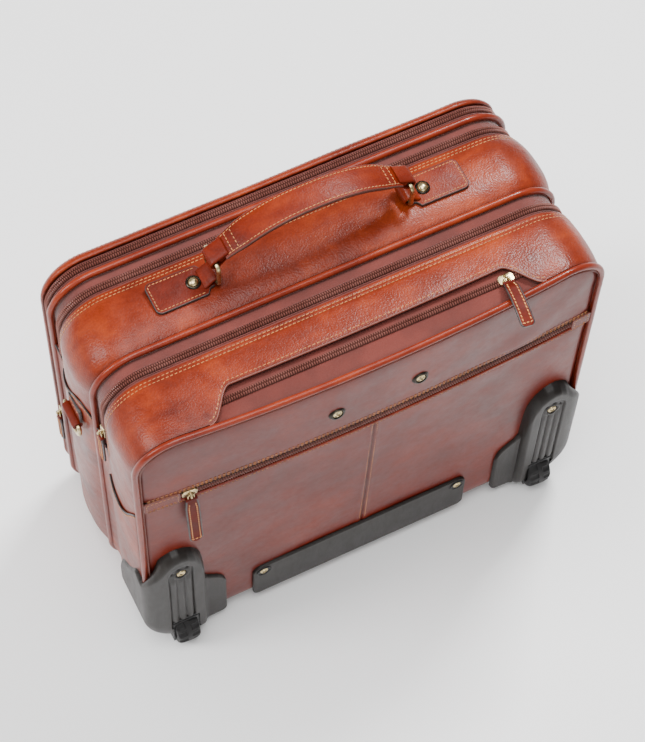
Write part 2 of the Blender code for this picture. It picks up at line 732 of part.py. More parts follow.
def tube_bore(name, x, size, low, high):
    inner = (size[0] - 2 * TUBE_WALL, size[1] - 2 * TUBE_WALL)
    points = rounded(0, 0, inner[0] / 2, inner[1] / 2, 0.0019, 2)
    return plate(name, None, points, high - low, Matrix.Translation(at(x, TUBE_DEPTH, (low + high) / 2)))


def tube_pair(frame_body, stage, size, low, high):
    """Joins a pair of open tubes to a cross piece and bores them through."""
    for side, word in ((1, "left"), (-1, "right")):
        boolean(frame_body, tube_solid(f"{stage}_tube_{word}", side * TUBE_X, size, low, high), "UNION")
    for side, word in ((1, "left"), (-1, "right")):
        boolean(frame_body, tube_bore(f"{stage}_bore_{word}", side * TUBE_X, size, low - 0.01, high + 0.01))
    return frame_body


def trolley():
    outer = depth_box("trolley_outer_frame", TUBE_METAL, (-0.078, 0.078), (-0.0042, 0.0224), (0.3220, 0.3470),
                      0.002, 2)
    tube_pair(outer, "outer", TUBE_SIZES[0], 0.0125, 0.3480)
    for side, word in ((1, "left"), (-1, "right")):
        spot = at(side * WASHER_X, -0.0042, WASHER_HEIGHT)
        boolean(outer, cylinder(f"bracket_bore_{word}", None, spot, 0.0024, 0.024, "Y", 12))
        trolley_screw(side, word)
    middle = depth_box("trolley_middle_frame", TUBE_METAL, (-0.0745, 0.0745), (0.0045, 0.0211), (0.3504, 0.3538),
                       0.001)
    tube_pair(middle, "middle", TUBE_SIZES[1], 0.0300, 0.3520)
    inner = depth_box("trolley_inner_frame", TUBE_METAL, (-TUBE_X, TUBE_X), (TUBE_DEPTH - 0.0040, TUBE_DEPTH + 0.0040),
                      (0.3560, 0.3590))
    tube_pair(inner, "inner", TUBE_SIZES[2], 0.0360, 0.3590)
    grip = depth_box("trolley_grip", DARK_PLASTIC, (-GRIP_HALF_WIDTH, GRIP_HALF_WIDTH), (0.0044, 0.0212),
                     (GRIP_TOP - GRIP_HEIGHT, GRIP_TOP), 0.0045, 3)
    half = BUTTON_LENGTH / 2
    room = depth_box("button_room", None, (-half - 0.0005, half + 0.0005), (TUBE_DEPTH - 0.0050, TUBE_DEPTH + 0.0050),
                     (GRIP_TOP - 0.0075, GRIP_TOP + 0.01))
    boolean(grip, room)
    reach = TUBE_X + TUBE_SIZES[2][0] / 2 + 0.0004
    socket = depth_box("grip_socket", None, (-reach, reach), (TUBE_DEPTH - 0.0046, TUBE_DEPTH + 0.0046),
                       (GRIP_TOP - GRIP_HEIGHT - 0.01, 0.3594))
    boolean(grip, socket)
    depth_box("release_button", TYRE, (-half, half), (TUBE_DEPTH - 0.0045, TUBE_DEPTH + 0.0045),
              (GRIP_TOP - 0.0045, GRIP_TOP + BUTTON_RISE), 0.001, 1)


def trolley_screw(side, word):
    """The screw with a captive domed washer that holds the trolley through the rear panel."""
    lean = bow(WASHER_X, WASHER_HEIGHT)
    seat = at(side * WASHER_X, -lean - 0.0003, WASHER_HEIGHT)
    profile = [(0.0, 0.0040), (0.0024, 0.0038), (0.0040, 0.0026), (0.0062, 0.0014), (0.0068, 0.0004),
               (0.0066, 0.0), (0.0019, 0.0), (0.0019, -0.0125), (0.0, -0.0125)]
    turned(f"trolley_screw_{word}", BRASS, profile, seat, axis="Y", steps=20)


# ---------------------------------------------------------------- carry handle
def ring_centre(side):
    return at(side * RING_X, HANDLE_DEPTH, RING_FOOT + (RING_SIZE - RING_BAR) / 2)


def square_ring(side, word):
    """A square wire ring that stands across the handle's end."""
    half = RING_SIZE / 2
    frame = plate(f"handle_ring_{word}", BRASS, rounded(0, 0, half, half, 0.004, 2), RING_BAR,
                  facing_side(0))
    hole = plate(f"ring_hole_{word}", None, rounded(0, 0, half - RING_BAR, half - RING_BAR, 0.0012, 1), 0.02,
                 facing_side(0))
    boolean(frame, hole)
    bpy.context.view_layer.update()
    for piece in (frame, hole):
        piece.matrix_world = Matrix.Translation(ring_centre(side)) @ piece.matrix_world
    return frame


def tab(side, word):
    """Stitched leather tab with the loop that holds the ring's lower bar."""
    low, high = 0.3828, 0.3854
    inner = 0.098
    sheet = [(inner, -0.0155), (TAB_OUT - 0.004, -0.0155), (TAB_OUT, -0.0115), (TAB_OUT, 0.0115),
             (TAB_OUT - 0.004, 0.0155), (inner, 0.0155), (RING_X + 0.004, 0.0098), (RING_X, 0.0098),
             (RING_X, -0.0098), (RING_X + 0.004, -0.0098)]
    centre = at(0, HANDLE_DEPTH, (low + high) / 2)
    body = plate(f"handle_tab_{word}", LEATHER_TRIM, mirrored(sheet, side), high - low, Matrix.Translation(centre))
    bar = at(side * RING_X, HANDLE_DEPTH, RING_FOOT)
    boolean(body, cylinder(f"tab_loop_{word}", None, bar, 0.0050, 0.0196, "Y", 20), "UNION")
    boolean(body, cylinder(f"tab_bore_{word}", None, bar, 0.0029, 0.05, "Y", 16))
    rivet_seat = at(side * 0.1055, HANDLE_DEPTH, high + 0.0004)
    profile = [(0.0, 0.0042), (0.0030, 0.0038), (0.0052, 0.0024), (0.0060, 0.0010), (0.0066, 0.0008),
               (0.0066, 0.0), (0.0, 0.0)]
    turned(f"handle_rivet_{word}", BRASS, profile, rivet_seat, steps=20)
    return body


def handle_height(x):
    """Height of the handle's middle line."""
    share = min(abs(x) / RING_X, 1.0)
    foot = RING_FOOT + RING_SIZE - RING_BAR
    return foot + (HANDLE_RISE - foot) * (1 - share ** 2.3)


def carry_handle():
    """A padded leather grip, arched between the two rings."""
    steps = 20
    sections = []
    for i in range(steps + 1):
        x = RING_X * (2 * i / steps - 1) * 0.975
        middle = 1 - abs(x) / RING_X
        swell = min(middle * 3.0, 1.0)
        half_width = 0.0098 + 0.0012 * swell
        above = 0.0020
        below = 0.0020 + 0.0045 * swell
        slope = (handle_height(x + 0.001) - handle_height(x - 0.001)) / 0.002
        lean = Vector((-slope, 0, 1)).normalized()
        centre = at(x, HANDLE_DEPTH, handle_height(x))
        ring = [(-half_width, above * 0.5), (-half_width * 0.8, above), (half_width * 0.8, above),
                (half_width, above * 0.5), (half_width, -below * 0.5), (half_width * 0.7, -below),
                (-half_width * 0.7, -below), (-half_width, -below * 0.5)]
        sections.append([centre + Vector((0, across, 0)) + lean * up for across, up in ring])
    handle = loft("carry_handle", LEATHER_TRIM, sections)
    for side, word in ((1, "left"), (-1, "right")):
        bar = at(side * RING_X, HANDLE_DEPTH, RING_FOOT + RING_SIZE - RING_BAR)
        boolean(handle, cylinder(f"handle_loop_{word}", None, bar, 0.0052, 0.0196, "Y", 20), "UNION")
        boolean(handle, cylinder(f"handle_bore_{word}", None, bar, 0.0029, 0.05, "Y", 16))
    return handle


# ---------------------------------------------------------------- side D-rings
D_RING_DEPTH = 0.112
D_RING_HEIGHT = 0.268
D_RING_X = 0.2262


def d_ring(side, word):
    """A leather loop on the middle section's side, and the D-ring that hangs from it."""
    bar = at(side * D_RING_X, D_RING_DEPTH, D_RING_HEIGHT)
    leaf = depth_box(f"side_loop_{word}", LEATHER_TRIM,
                     tuple(sorted((side * 0.2216, side * 0.2240))), (D_RING_DEPTH - 0.0120, D_RING_DEPTH + 0.0120),
                     (D_RING_HEIGHT - 0.002, D_RING_HEIGHT + 0.018))
    boolean(leaf, cylinder(f"side_roll_{word}", None, bar, 0.0048, 0.0240, "Y", 20), "UNION")
    boolean(leaf, cylinder(f"side_bore_{word}", None, bar, 0.0026, 0.05, "Y", 16))
    half = 0.0150
    points = [bar + Vector((0, -half, 0)), bar + Vector((0, half, 0))]
    for i in range(0, 11):
        angle = -math.pi * i / 10
        points.append(bar + Vector((0, half * math.cos(angle), -0.006 + 0.0150 * math.sin(angle))))
    ring = wire(f"d_ring_{word}", BRASS, points, 0.0020, True)
    return set_origin(ring, bar)


# ---------------------------------------------------------------- zip sliders and pullers
EYE_HEIGHT = 0.0034             # the puller's axis above the coil's top


def frame(origin, along, out):
    """A slider's frame: x along the puller's axis, z out of the case."""
    along, out = Vector(along).normalized(), Vector(out).normalized()
    turn = Matrix((along, out.cross(along), out)).transposed().to_4x4()
    return Matrix.Translation(origin) @ turn


def slider(name, to_world, runs_along_x, low):
    """A slider over the coil. In its frame z = 0 is the coil's top and the eye opens along x. Its lips
    reach down to low; where the two sides of the zip part, it has none and rides on the coil."""
    long, wide = 0.0130, 0.0100
    x, y = (long, wide) if runs_along_x else (wide, long)
    channel = (0.05, 0.0038) if runs_along_x else (0.0038, 0.05)
    body = box(name, BRASS, (-x / 2, -y / 2, low), (x / 2, y / 2, 0.0016), 0.0006, 1)
    groove = box(name + "_channel", None, (-channel[0], -channel[1], -0.01), (channel[0], channel[1], 0.0003))
    bail = box(name + "_bail", None, (-0.0012, -0.0034, 0.0010), (0.0012, 0.0034, 0.0060))
    eye = box(name + "_eye", None, (-0.01, -0.0020, 0.0018), (0.01, 0.0020, 0.0050))
    if low < 0:
        boolean(body, groove)
    boolean(body, bail, "UNION")
    boolean(body, eye)
    bpy.context.view_layer.update()
    for piece in (body, groove, bail, eye):
        piece.matrix_world = to_world @ piece.matrix_world
        if piece is groove:
            as_cutter(piece)
    return body


def puller(name, to_world, turn, bends, width=0.0105, reach=0.0075):
    """A leather pull tab on a wire link through the slider's eye. In the slider's frame the tab leaves
    the eye along -y, turned up by an angle about x; bends are the (length, rise) points of its line."""
    half = width / 2
    sections = []
    for length, rise in bends:
        sections.append([Vector((half, -length, rise - 0.0011)), Vector((half, -length, rise + 0.0011)),
                         Vector((-half, -length, rise + 0.0011)), Vector((-half, -length, rise - 0.0011))])
    body = loft(name, LEATHER_TRIM, sections)
    first = bends[0][0]
    link = box(name + "_link", None, (-0.0029, -first - 0.0015, -0.0007), (0.0029, 0.0007, 0.0007))
    hole = box(name + "_link_hole", None, (-0.0018, -first + 0.0008, -0.01), (0.0018, -0.0007, 0.01))
    boolean(body, link, "UNION")
    boolean(body, hole)
    bpy.context.view_layer.update()
    eye = to_world @ Matrix.Translation((0, 0, EYE_HEIGHT)) @ Matrix.Rotation(-math.radians(turn), 4, "X")
    for piece in (body, link, hole):
        piece.matrix_world = eye @ piece.matrix_world
    return body


def sliders_and_pullers():
    """Sliders at rest at the closed end of each zip, with their pullers hanging as they fall."""
    spot = at(-0.1196, SLOT_ZIP, LEATHER_HEIGHT - 0.0030)
    slot = frame(spot, (-1, 0, 0), (0, 0, 1))
    slider("slot_slider", slot, True, -0.0018)
    puller("slot_puller", slot, 0.0, [(0.0060, 0.0), (0.0090, 0.0014), (0.0130, 0.0046), (0.0240, 0.0060),
                                      (0.0350, 0.0056), (0.0500, 0.0030)])
    x = POCKET_ZIP_START
    lean = bow(x, POCKET_ZIP_HEIGHT)
    slope = -2 * x * lean / ((CASE_WIDTH / 2) ** 2 - x * x)
    spot = at(x, 0.0004 - lean, POCKET_ZIP_HEIGHT)
    rear = frame(spot, (-1, -slope, 0), (-slope, 1, 0))
    slider("rear_slider", rear, True, -0.0018)
    puller("rear_puller", rear, 7.0, [(0.0060, 0.0), (0.0300, 0.0), (0.0650, 0.0)])
    side_face = CASE_WIDTH / 2 - 0.0012
    for word, depth, above in (("zip_1", ZIP_1, 0.3050), ("zip_3", ZIP_3, 0.1340)):
        down = frame(Vector((side_face, REAR_Y - depth, height(above))), (0, 1, 0), (1, 0, 0))
        slider(f"{word}_slider", down, False, 0.0003)
        puller(f"{word}_puller", down, 0.0, [(0.0060, 0.0), (0.0300, 0.0), (0.0480, 0.0)])


# ---------------------------------------------------------------- joints' origins
def set_joint_origins():
    """Puts each moving piece's origin on its joint's axis."""
    objects = bpy.data.objects
    for side, word in ((1, "left"), (-1, "right")):
        set_origin(objects[f"handle_ring_{word}"], at(side * RING_X, HANDLE_DEPTH, RING_FOOT))
    set_origin(objects["carry_handle"], at(RING_X, HANDLE_DEPTH, RING_FOOT + RING_SIZE - RING_BAR))
    for name in ("middle_gusset", "front_piping", "front_panel"):
        set_origin(objects[name], at(0, FRONT_START, -0.0005))


def main():
    start_scene()
    rear_panels()
    rear_zip()
    rear_band()
    rear_piping()
    slot_zip()
    rear_inside()
    section_zips()
    lower_gussets()
    middle_section()
    front_sections()
    base()
    wheels()
    trolley()
    for side, word in ((1, "left"), (-1, "right")):
        square_ring(side, word)
        tab(side, word)
        d_ring(side, word)
    carry_handle()
    sliders_and_pullers()
    set_joint_origins()


main()
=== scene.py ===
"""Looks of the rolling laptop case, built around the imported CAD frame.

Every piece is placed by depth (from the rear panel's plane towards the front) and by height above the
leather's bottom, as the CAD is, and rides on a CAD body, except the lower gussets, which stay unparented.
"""
import math

import bpy
import numpy as np
from mathutils import Matrix, Vector, noise


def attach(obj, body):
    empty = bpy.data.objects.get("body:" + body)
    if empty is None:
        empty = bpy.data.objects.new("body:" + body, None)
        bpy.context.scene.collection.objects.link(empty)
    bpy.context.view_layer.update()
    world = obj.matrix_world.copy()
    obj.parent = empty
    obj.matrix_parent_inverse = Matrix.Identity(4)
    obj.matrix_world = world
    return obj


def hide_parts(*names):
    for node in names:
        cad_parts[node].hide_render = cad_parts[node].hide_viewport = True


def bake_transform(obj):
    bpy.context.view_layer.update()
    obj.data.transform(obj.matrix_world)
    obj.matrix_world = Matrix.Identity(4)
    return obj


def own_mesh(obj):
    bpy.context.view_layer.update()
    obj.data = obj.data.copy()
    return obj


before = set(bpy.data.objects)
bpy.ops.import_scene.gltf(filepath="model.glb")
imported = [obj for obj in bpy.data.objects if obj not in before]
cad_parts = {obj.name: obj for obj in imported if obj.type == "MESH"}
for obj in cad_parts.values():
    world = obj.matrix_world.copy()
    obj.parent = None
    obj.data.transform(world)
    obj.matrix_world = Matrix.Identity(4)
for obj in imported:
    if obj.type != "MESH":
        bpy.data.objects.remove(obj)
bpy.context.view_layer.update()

# Leather body
HALF = 0.215
LEATHER_HEIGHT = 0.386
FLOOR_GAP = 0.014
REAR_Y = 0.08285
TOP_FALL = 0.085
TOP_RADIUS = 0.042
BOTTOM_RADIUS = 0.045
REAR_BOW = 0.012
BOW_REACH = 0.045
REAR_CROWN = 0.0025
MIDDLE_CROWN = 0.006

# Depths of the seams, rear to front
SLOT_FRONT = 0.0292
SLOT_ZIP = 0.0158
REAR_END = 0.061
ZIP_1 = 0.069
PIPING_B = 0.086
MIDDLE_START = 0.0894
MIDDLE_END = 0.152
ZIP_2 = 0.160
PIPING_C = 0.174
ZIP_3 = 0.1848
FRONT_START = 0.1900
SIDE_ZIP_END = 0.285
FRONT_ZIP_END = 0.115

POCKET_ZIP_HEIGHT = 0.283
SLIT = 0.0058
KICK_HEIGHT = 0.057
WHEEL_X = 0.184
WHEEL_DEPTH = 0.004
WHEEL_RADIUS = 0.025
HANDLE_DEPTH = 0.1225
RING_X = 0.0880
RING_SIZE = 0.0290
RING_BAR = 0.0036
RING_FOOT = 0.3885
HANDLE_RISE = 0.4460
SIDES = ((1, "left"), (-1, "right"))
# A point inside the case. Its shells face away from it and the lamps aim at it.
INSIDE = (0, 0, 0.2)


# ---------------------------------------------------------------- numbers
def smooth(t):
    t = np.clip(t, 0.0, 1.0)
    return t * t * (3 - 2 * t)


def bump(value, centre, width):
    return np.exp(-(((value - centre) / width) ** 2))


def lumps(points, size, seed):
    """Smooth noise, about -1 to 1, with lumps of a given size."""
    flat = np.asarray(points, float).reshape(-1, 3) / size + seed * 17.3
    out = np.array([noise.noise(Vector(p)) for p in flat])
    return out.reshape(np.asarray(points).shape[:-1])


def at(x, depth, above):
    """Points from x, depth and height above the leather's bottom."""
    x, depth, above = np.broadcast_arrays(*[np.asarray(v, float) for v in (x, depth, above)])
    return np.stack([x, REAR_Y - depth, above + FLOOR_GAP], -1)


def bow(x, above):
    """How far the rear panel stands out of its plane."""
    across = np.clip(1 - (np.asarray(x) / HALF) ** 2, 0, None)
    return REAR_BOW * across * np.clip((np.asarray(above) - KICK_HEIGHT) / (LEATHER_HEIGHT - KICK_HEIGHT), 0, 1)


def lengths(path):
    """Distance along a path at each of its points."""
    steps = np.linalg.norm(np.diff(path, axis=0), axis=1)
    return np.concatenate([[0.0], np.cumsum(steps)])


def resample(path, count, cyclic=False):
    if cyclic:
        path = np.vstack([path, path[:1]])
    s = lengths(path)
    want = np.linspace(0, s[-1], count + (1 if cyclic else 0))
    out = np.stack([np.interp(want, s, path[:, k]) for k in range(path.shape[1])], -1)
    return out[:-1] if cyclic else out


def smoothed(path, rounds=2, cyclic=False):
    """A softer version of a path, its ends kept."""
    path = np.array(path, float)
    for _ in range(rounds):
        if cyclic:
            path = (np.roll(path, 1, 0) + 2 * path + np.roll(path, -1, 0)) / 4
        else:
            path[1:-1] = (path[:-2] + 2 * path[1:-1] + path[2:]) / 4
    return path


def unit(vectors):
    return vectors / np.maximum(np.linalg.norm(vectors, axis=-1, keepdims=True), 1e-12)


# ---------------------------------------------------------------- outline of the leather body
class Outline:
    """The body's outline as a row of points that may be taken at any depth and offset: a full ring, an
    arch from a height on one side over the top to the other, or a cradle under the body."""

    def __init__(self, kind="ring", limit=BOTTOM_RADIUS, pitch=0.0035):
        rows = []

        def side(sign, low, rising):
            count = max(int((LEATHER_HEIGHT - TOP_RADIUS - low) / pitch), 4)
            first, last = (0, 1) if rising else (1, 0)
            for f in np.linspace(first, last, count, endpoint=False):
                rows.append((sign * HALF, low * (1 - f) - f * TOP_RADIUS, f, sign, 0.0))

        def turn(cx, radius, start, top):
            count = max(int(radius * 1.6 / pitch * 1.6), 8)
            for i in range(count):
                a = math.radians(start + 90 * i / count)
                nx, nz = math.cos(a), math.sin(a)
                rows.append((cx + radius * nx, (-radius if top else radius) + radius * nz,
                             1.0 if top else 0.0, nx, nz))

        def level(a, b, top):
            count = max(int(abs(b - a) / pitch), 4)
            for x in np.linspace(a, b, count, endpoint=False):
                rows.append((x, 0.0, 1.0 if top else 0.0, 0.0, 1.0 if top else -1.0))

        def low_side(sign, a, b):
            count = max(int(abs(b - a) / pitch), 2)
            for z in np.linspace(a, b, count, endpoint=False):
                rows.append((sign * HALF, z, 0.0, sign, 0.0))

        if kind in ("ring", "arch"):
            side(1, BOTTOM_RADIUS if kind == "ring" else limit, True)
            turn(HALF - TOP_RADIUS, TOP_RADIUS, 0, True)
            level(HALF - TOP_RADIUS, TOP_RADIUS - HALF, True)
            turn(TOP_RADIUS - HALF, TOP_RADIUS, 90, True)
            side(-1, BOTTOM_RADIUS if kind == "ring" else limit, False)
        if kind == "arch":
            rows.append((-HALF, limit, 0.0, -1.0, 0.0))
        if kind == "cradle":
            low_side(-1, limit, BOTTOM_RADIUS)
        if kind in ("ring", "cradle"):
            turn(BOTTOM_RADIUS - HALF, BOTTOM_RADIUS, 180, False)
            level(BOTTOM_RADIUS - HALF, HALF - BOTTOM_RADIUS, False)
            turn(HALF - BOTTOM_RADIUS, BOTTOM_RADIUS, 270, False)
        if kind == "cradle":
            low_side(1, BOTTOM_RADIUS, limit)
            rows.append((HALF, limit, 0.0, 1.0, 0.0))
        self.cyclic = kind == "ring"
        table = np.array(rows)
        self.x, self.a, self.b, self.nx, self.nz = table.T
        middle = self.points(0.1, 0.0)[:, 0]
        self.s = lengths(middle)
        self.normal = np.stack([self.nx, 0 * self.nx, self.nz], -1)

    def finer(self, pitch):
        """The same outline with points at an even, finer pitch."""
        other = object.__new__(Outline)
        other.cyclic = False
        other.s = np.arange(self.s[0], self.s[-1] + pitch * 0.5, pitch)
        for name in ("x", "a", "b", "nx", "nz"):
            setattr(other, name, np.interp(other.s, self.s, getattr(self, name)))
        other.normal = np.stack([other.nx, 0 * other.nx, other.nz], -1)
        return other

    def points(self, depth, offset, under=None):
        """Points at depths and offsets, one row per point of the outline and one column per depth."""
        count = len(self.x)
        depth = np.atleast_1d(np.asarray(depth, float))
        depth = np.broadcast_to(depth, (count, depth.shape[-1])) if depth.ndim == 1 else depth
        offset = np.broadcast_to(np.asarray(offset, float), depth.shape)
        under = offset if under is None else np.broadcast_to(np.asarray(under, float), depth.shape)
        nx, nz = self.nx[:, None], self.nz[:, None]
        x = self.x[:, None] + offset * nx
        level = LEATHER_HEIGHT - TOP_FALL * np.clip(depth, 0, None)
        z = self.a[:, None] + self.b[:, None] * level + np.where(nz < 0, under, offset) * nz
        lean = bow(x, z) * np.clip(1 - np.clip(depth, 0, None) / BOW_REACH, 0, None)
        return at(x, depth - lean, z)


# ---------------------------------------------------------------- mesh building
def quads(index, wrap_rows=False, wrap_columns=False):
    """The quads between the rows and columns of a grid of vertex numbers."""
    if wrap_rows:
        index = np.vstack([index, index[:1]])
    if wrap_columns:
        index = np.hstack([index, index[:, :1]])
    return np.stack([index[:-1, :-1], index[1:, :-1], index[1:, 1:], index[:-1, 1:]], -1).reshape(-1, 4)


class Piece:
    """A mesh in the making: shapes are added with their materials, and done() makes the object."""

    def __init__(self):
        self.verts, self.loops, self.starts, self.slots, self.uvs, self.shades = [], [], [], [], [], []
        self.materials, self.count, self.loop_count = [], 0, 0

    def add(self, verts, faces, material, uv=None, centre=None, shade=None, flip=None):
        verts = np.asarray(verts, float).reshape(-1, 3)
        if isinstance(faces, np.ndarray):
            groups = [faces]
        else:
            sizes = {}
            for face in faces:
                sizes.setdefault(len(face), []).append(face)
            groups = [np.array(group) for group in sizes.values()]
        if flip is None:
            origin = verts.mean(0) if centre is None else np.array(centre, float)
            moved = verts - origin
            volume = 0.0
            for group in groups:
                a, b, c = moved[group[:, 0]], moved[group[:, 1]], moved[group[:, 2]]
                volume += float(np.einsum("ij,ij->i", a, np.cross(b, c)).sum())
            flip = volume < 0
        if material not in self.materials:
            self.materials.append(material)
        index = self.materials.index(material)
        for group in groups:
            group = group[:, ::-1] if flip else group
            size = group.shape[1]
            self.loops.append((group + self.count).reshape(-1))
            self.starts.append(self.loop_count + size * np.arange(len(group)))
            self.slots.append(np.full(len(group), index))
            self.loop_count += group.size
        self.verts.append(verts)
        self.uvs.append(np.zeros((len(verts), 2)) if uv is None else np.asarray(uv, float).reshape(-1, 2))
        self.shades.append(np.zeros(len(verts)) if shade is None else
                           np.broadcast_to(np.asarray(shade, float), np.asarray(shade).shape or (1,)).reshape(-1)
                           * np.ones(len(verts)))
        self.count += len(verts)
        return self

    def grid(self, points, material, cyclic=(False, False), uv=None, centre=None, shade=None, keep=None, flip=None):
        """A sheet of quads over a grid of points."""
        n, m = points.shape[:2]
        faces = quads(np.arange(n * m).reshape(n, m), *cyclic)
        flat = points.reshape(-1, 3)
        if keep is not None:
            faces = faces[keep(flat[faces].mean(1))]
        return self.add(flat, faces, material, uv, centre, shade, flip)

    def done(self, name, body, slot, replaces=(), smooth_angle=50, blend=None):
        mesh = bpy.data.meshes.new(name)
        verts = np.vstack(self.verts)
        loops = np.concatenate(self.loops).astype(np.int32)
        mesh.vertices.add(len(verts))
        mesh.vertices.foreach_set("co", verts.astype(np.float32).reshape(-1))
        mesh.loops.add(len(loops))
        mesh.loops.foreach_set("vertex_index", loops)
        starts = np.concatenate(self.starts).astype(np.int32)
        mesh.polygons.add(len(starts))
        mesh.polygons.foreach_set("loop_start", starts)
        mesh.polygons.foreach_set("material_index", np.concatenate(self.slots).astype(np.int32))
        for material in self.materials:
            mesh.materials.append(material)
        mesh.update(calc_edges=True)
        mesh.validate()
        used = np.zeros(len(mesh.loops), np.int32)
        mesh.loops.foreach_get("vertex_index", used)
        layer = mesh.uv_layers.new(name="UVMap")
        layer.data.foreach_set("uv", np.vstack(self.uvs)[used].astype(np.float32).reshape(-1))
        # the shade attribute holds painted shade: it darkens the colour where seams, folds and recesses lie in
        # shadow
        shade = mesh.attributes.new("shade", "FLOAT", "POINT")
        shade.data.foreach_set("value", np.concatenate(self.shades).astype(np.float32))
        mesh.polygons.foreach_set("use_smooth", np.ones(len(mesh.polygons), bool))
        mesh.set_sharp_from_angle(angle=math.radians(smooth_angle))
        obj = bpy.data.objects.new(name, mesh)
        bpy.context.scene.collection.objects.link(obj)
        if blend:
            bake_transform(obj)
        else:
            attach(obj, body)
        if replaces:
            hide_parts(*replaces)
        return obj


def frames(path, cyclic=False, up=None):
    """Tangent, side and normal at each point of a path, turning as little as they can."""
    path = np.asarray(path, float)
    if cyclic:
        tangent = unit(np.roll(path, -1, 0) - np.roll(path, 1, 0))
    else:
        tangent = unit(np.gradient(path, axis=0))
    if up is not None:
        normal = np.broadcast_to(np.asarray(up, float), path.shape)
        side = unit(np.cross(normal, tangent))
        return tangent, side, unit(np.cross(tangent, side))
    normal = np.zeros_like(path)
    seed = np.array([0, 0, 1.0]) if abs(tangent[0][2]) < 0.9 else np.array([1.0, 0, 0])
    last = unit(seed - tangent[0] * seed.dot(tangent[0]))
    for i, t in enumerate(tangent):
        last = unit(last - t * last.dot(t))
        normal[i] = last
    return tangent, unit(np.cross(normal, tangent)), normal


def tube(piece, path, radius, material, sides=10, cyclic=False, flat=1.0):
    """A round cord along a path, its ends closed. radius may change along it."""
    path = np.asarray(path, float)
    _, side, normal = frames(path, cyclic)
    radius = np.broadcast_to(np.asarray(radius, float), (len(path),))[:, None, None]
    a = np.linspace(0, 2 * np.pi, sides, endpoint=False)
    ring = side[:, None] * np.cos(a)[None, :, None] + normal[:, None] * np.sin(a)[None, :, None] * flat
    points = path[:, None] + radius * ring
    s = lengths(path)
    uv = np.stack(np.broadcast_arrays(s[:, None], a[None] * 0.003), -1)
    n = len(path)
    index = np.arange(n * sides).reshape(n, sides)
    faces = quads(index, cyclic, True).tolist()
    if not cyclic:
        faces += [index[0].tolist(), index[-1].tolist()[::-1]]
    piece.add(points.reshape(-1, 3), faces, material, uv)
    return points


def section_loft(piece, sections, material, cyclic=False):
    """A closed skin through sections (n, m, 3), each a closed loop."""
    n, m = sections.shape[:2]
    index = np.arange(n * m).reshape(n, m)
    faces = quads(index, cyclic, True).tolist()
    if not cyclic:
        faces += [index[0].tolist(), index[-1].tolist()[::-1]]
    piece.add(sections.reshape(-1, 3), faces, material)


def stitches(piece, path, normals, material, pitch=0.0040, length=0.0031, radius=0.00042, slant=0.10, lift=0.0001,
             start=0.5):
    """A row of stitches along a path that lies on a surface."""
    path = np.asarray(path, float)
    s = lengths(path)
    count = max(int(s[-1] / pitch), 1)
    want = (np.arange(count) + start) * s[-1] / count
    normals = np.broadcast_to(np.asarray(normals, float), path.shape)
    centre = np.stack([np.interp(want, s, path[:, k]) for k in range(3)], -1)
    normal = unit(np.stack([np.interp(want, s, normals[:, k]) for k in range(3)], -1))
    tangent = np.stack([np.interp(want + 0.0005, s, path[:, k]) for k in range(3)], -1)
    tangent = unit(tangent - np.stack([np.interp(want - 0.0005, s, path[:, k]) for k in range(3)], -1))
    side = unit(np.cross(normal, tangent))
    along = unit(tangent + side * slant)
    side = unit(np.cross(normal, along))
    stations = np.array([[-1.0, 0.45, -0.5], [-0.72, 0.95, 0.1], [0.0, 1.05, 0.35], [0.72, 0.95, 0.1],
                         [1.0, 0.45, -0.5]])
    a = np.linspace(0, 2 * np.pi, 6, endpoint=False)
    verts = []
    for x, r, rise in stations:
        ring = (centre[:, None] + along[:, None] * x * length / 2
                + side[:, None] * (np.cos(a) * r * radius)[None, :, None]
                + normal[:, None] * ((np.sin(a) * r + rise) * radius + lift)[None, :, None])
        verts.append(ring)
    verts = np.stack(verts, 1)
    block = np.arange(len(stations) * len(a)).reshape(len(stations), len(a))
    base = (np.arange(count) * block.size)[:, None, None]
    faces = (quads(block, False, True)[None] + base).reshape(-1, 4).tolist()
    ends = np.stack([block[0], block[-1][::-1]])
    faces += (ends[None] + base).reshape(-1, len(a)).tolist()
    piece.add(verts.reshape(-1, 3), faces, material, flip=True)


def arc(cx, cy, radius, start, sweep, steps):
    a = np.radians(start + sweep * np.linspace(0, 1, steps + 1))
    return np.stack([cx + radius * np.cos(a), cy + radius * np.sin(a)], -1)


def rounded(cx, cy, half_w, half_h, radius, steps=6):
    """A rounded rectangle's points, counter-clockwise. radius may be four radii, from the top right."""
    radii = radius if isinstance(radius, (tuple, list)) else (radius,) * 4
    rows = []
    for (sx, sy, start), r in zip(((1, 1, 0), (-1, 1, 90), (-1, -1, 180), (1, -1, 270)), radii):
        rows.append(arc(cx + sx * (half_w - r), cy + sy * (half_h - r), r, start, 90, steps))
    return np.vstack(rows)


def outward(points):
    """Outward unit normals of a closed, counter-clockwise 2D outline."""
    ahead = np.roll(points, -1, 0) - points
    behind = points - np.roll(points, 1, 0)
    tangent = unit(unit(ahead) + unit(behind))
    return np.stack([tangent[:, 1], -tangent[:, 0]], -1)


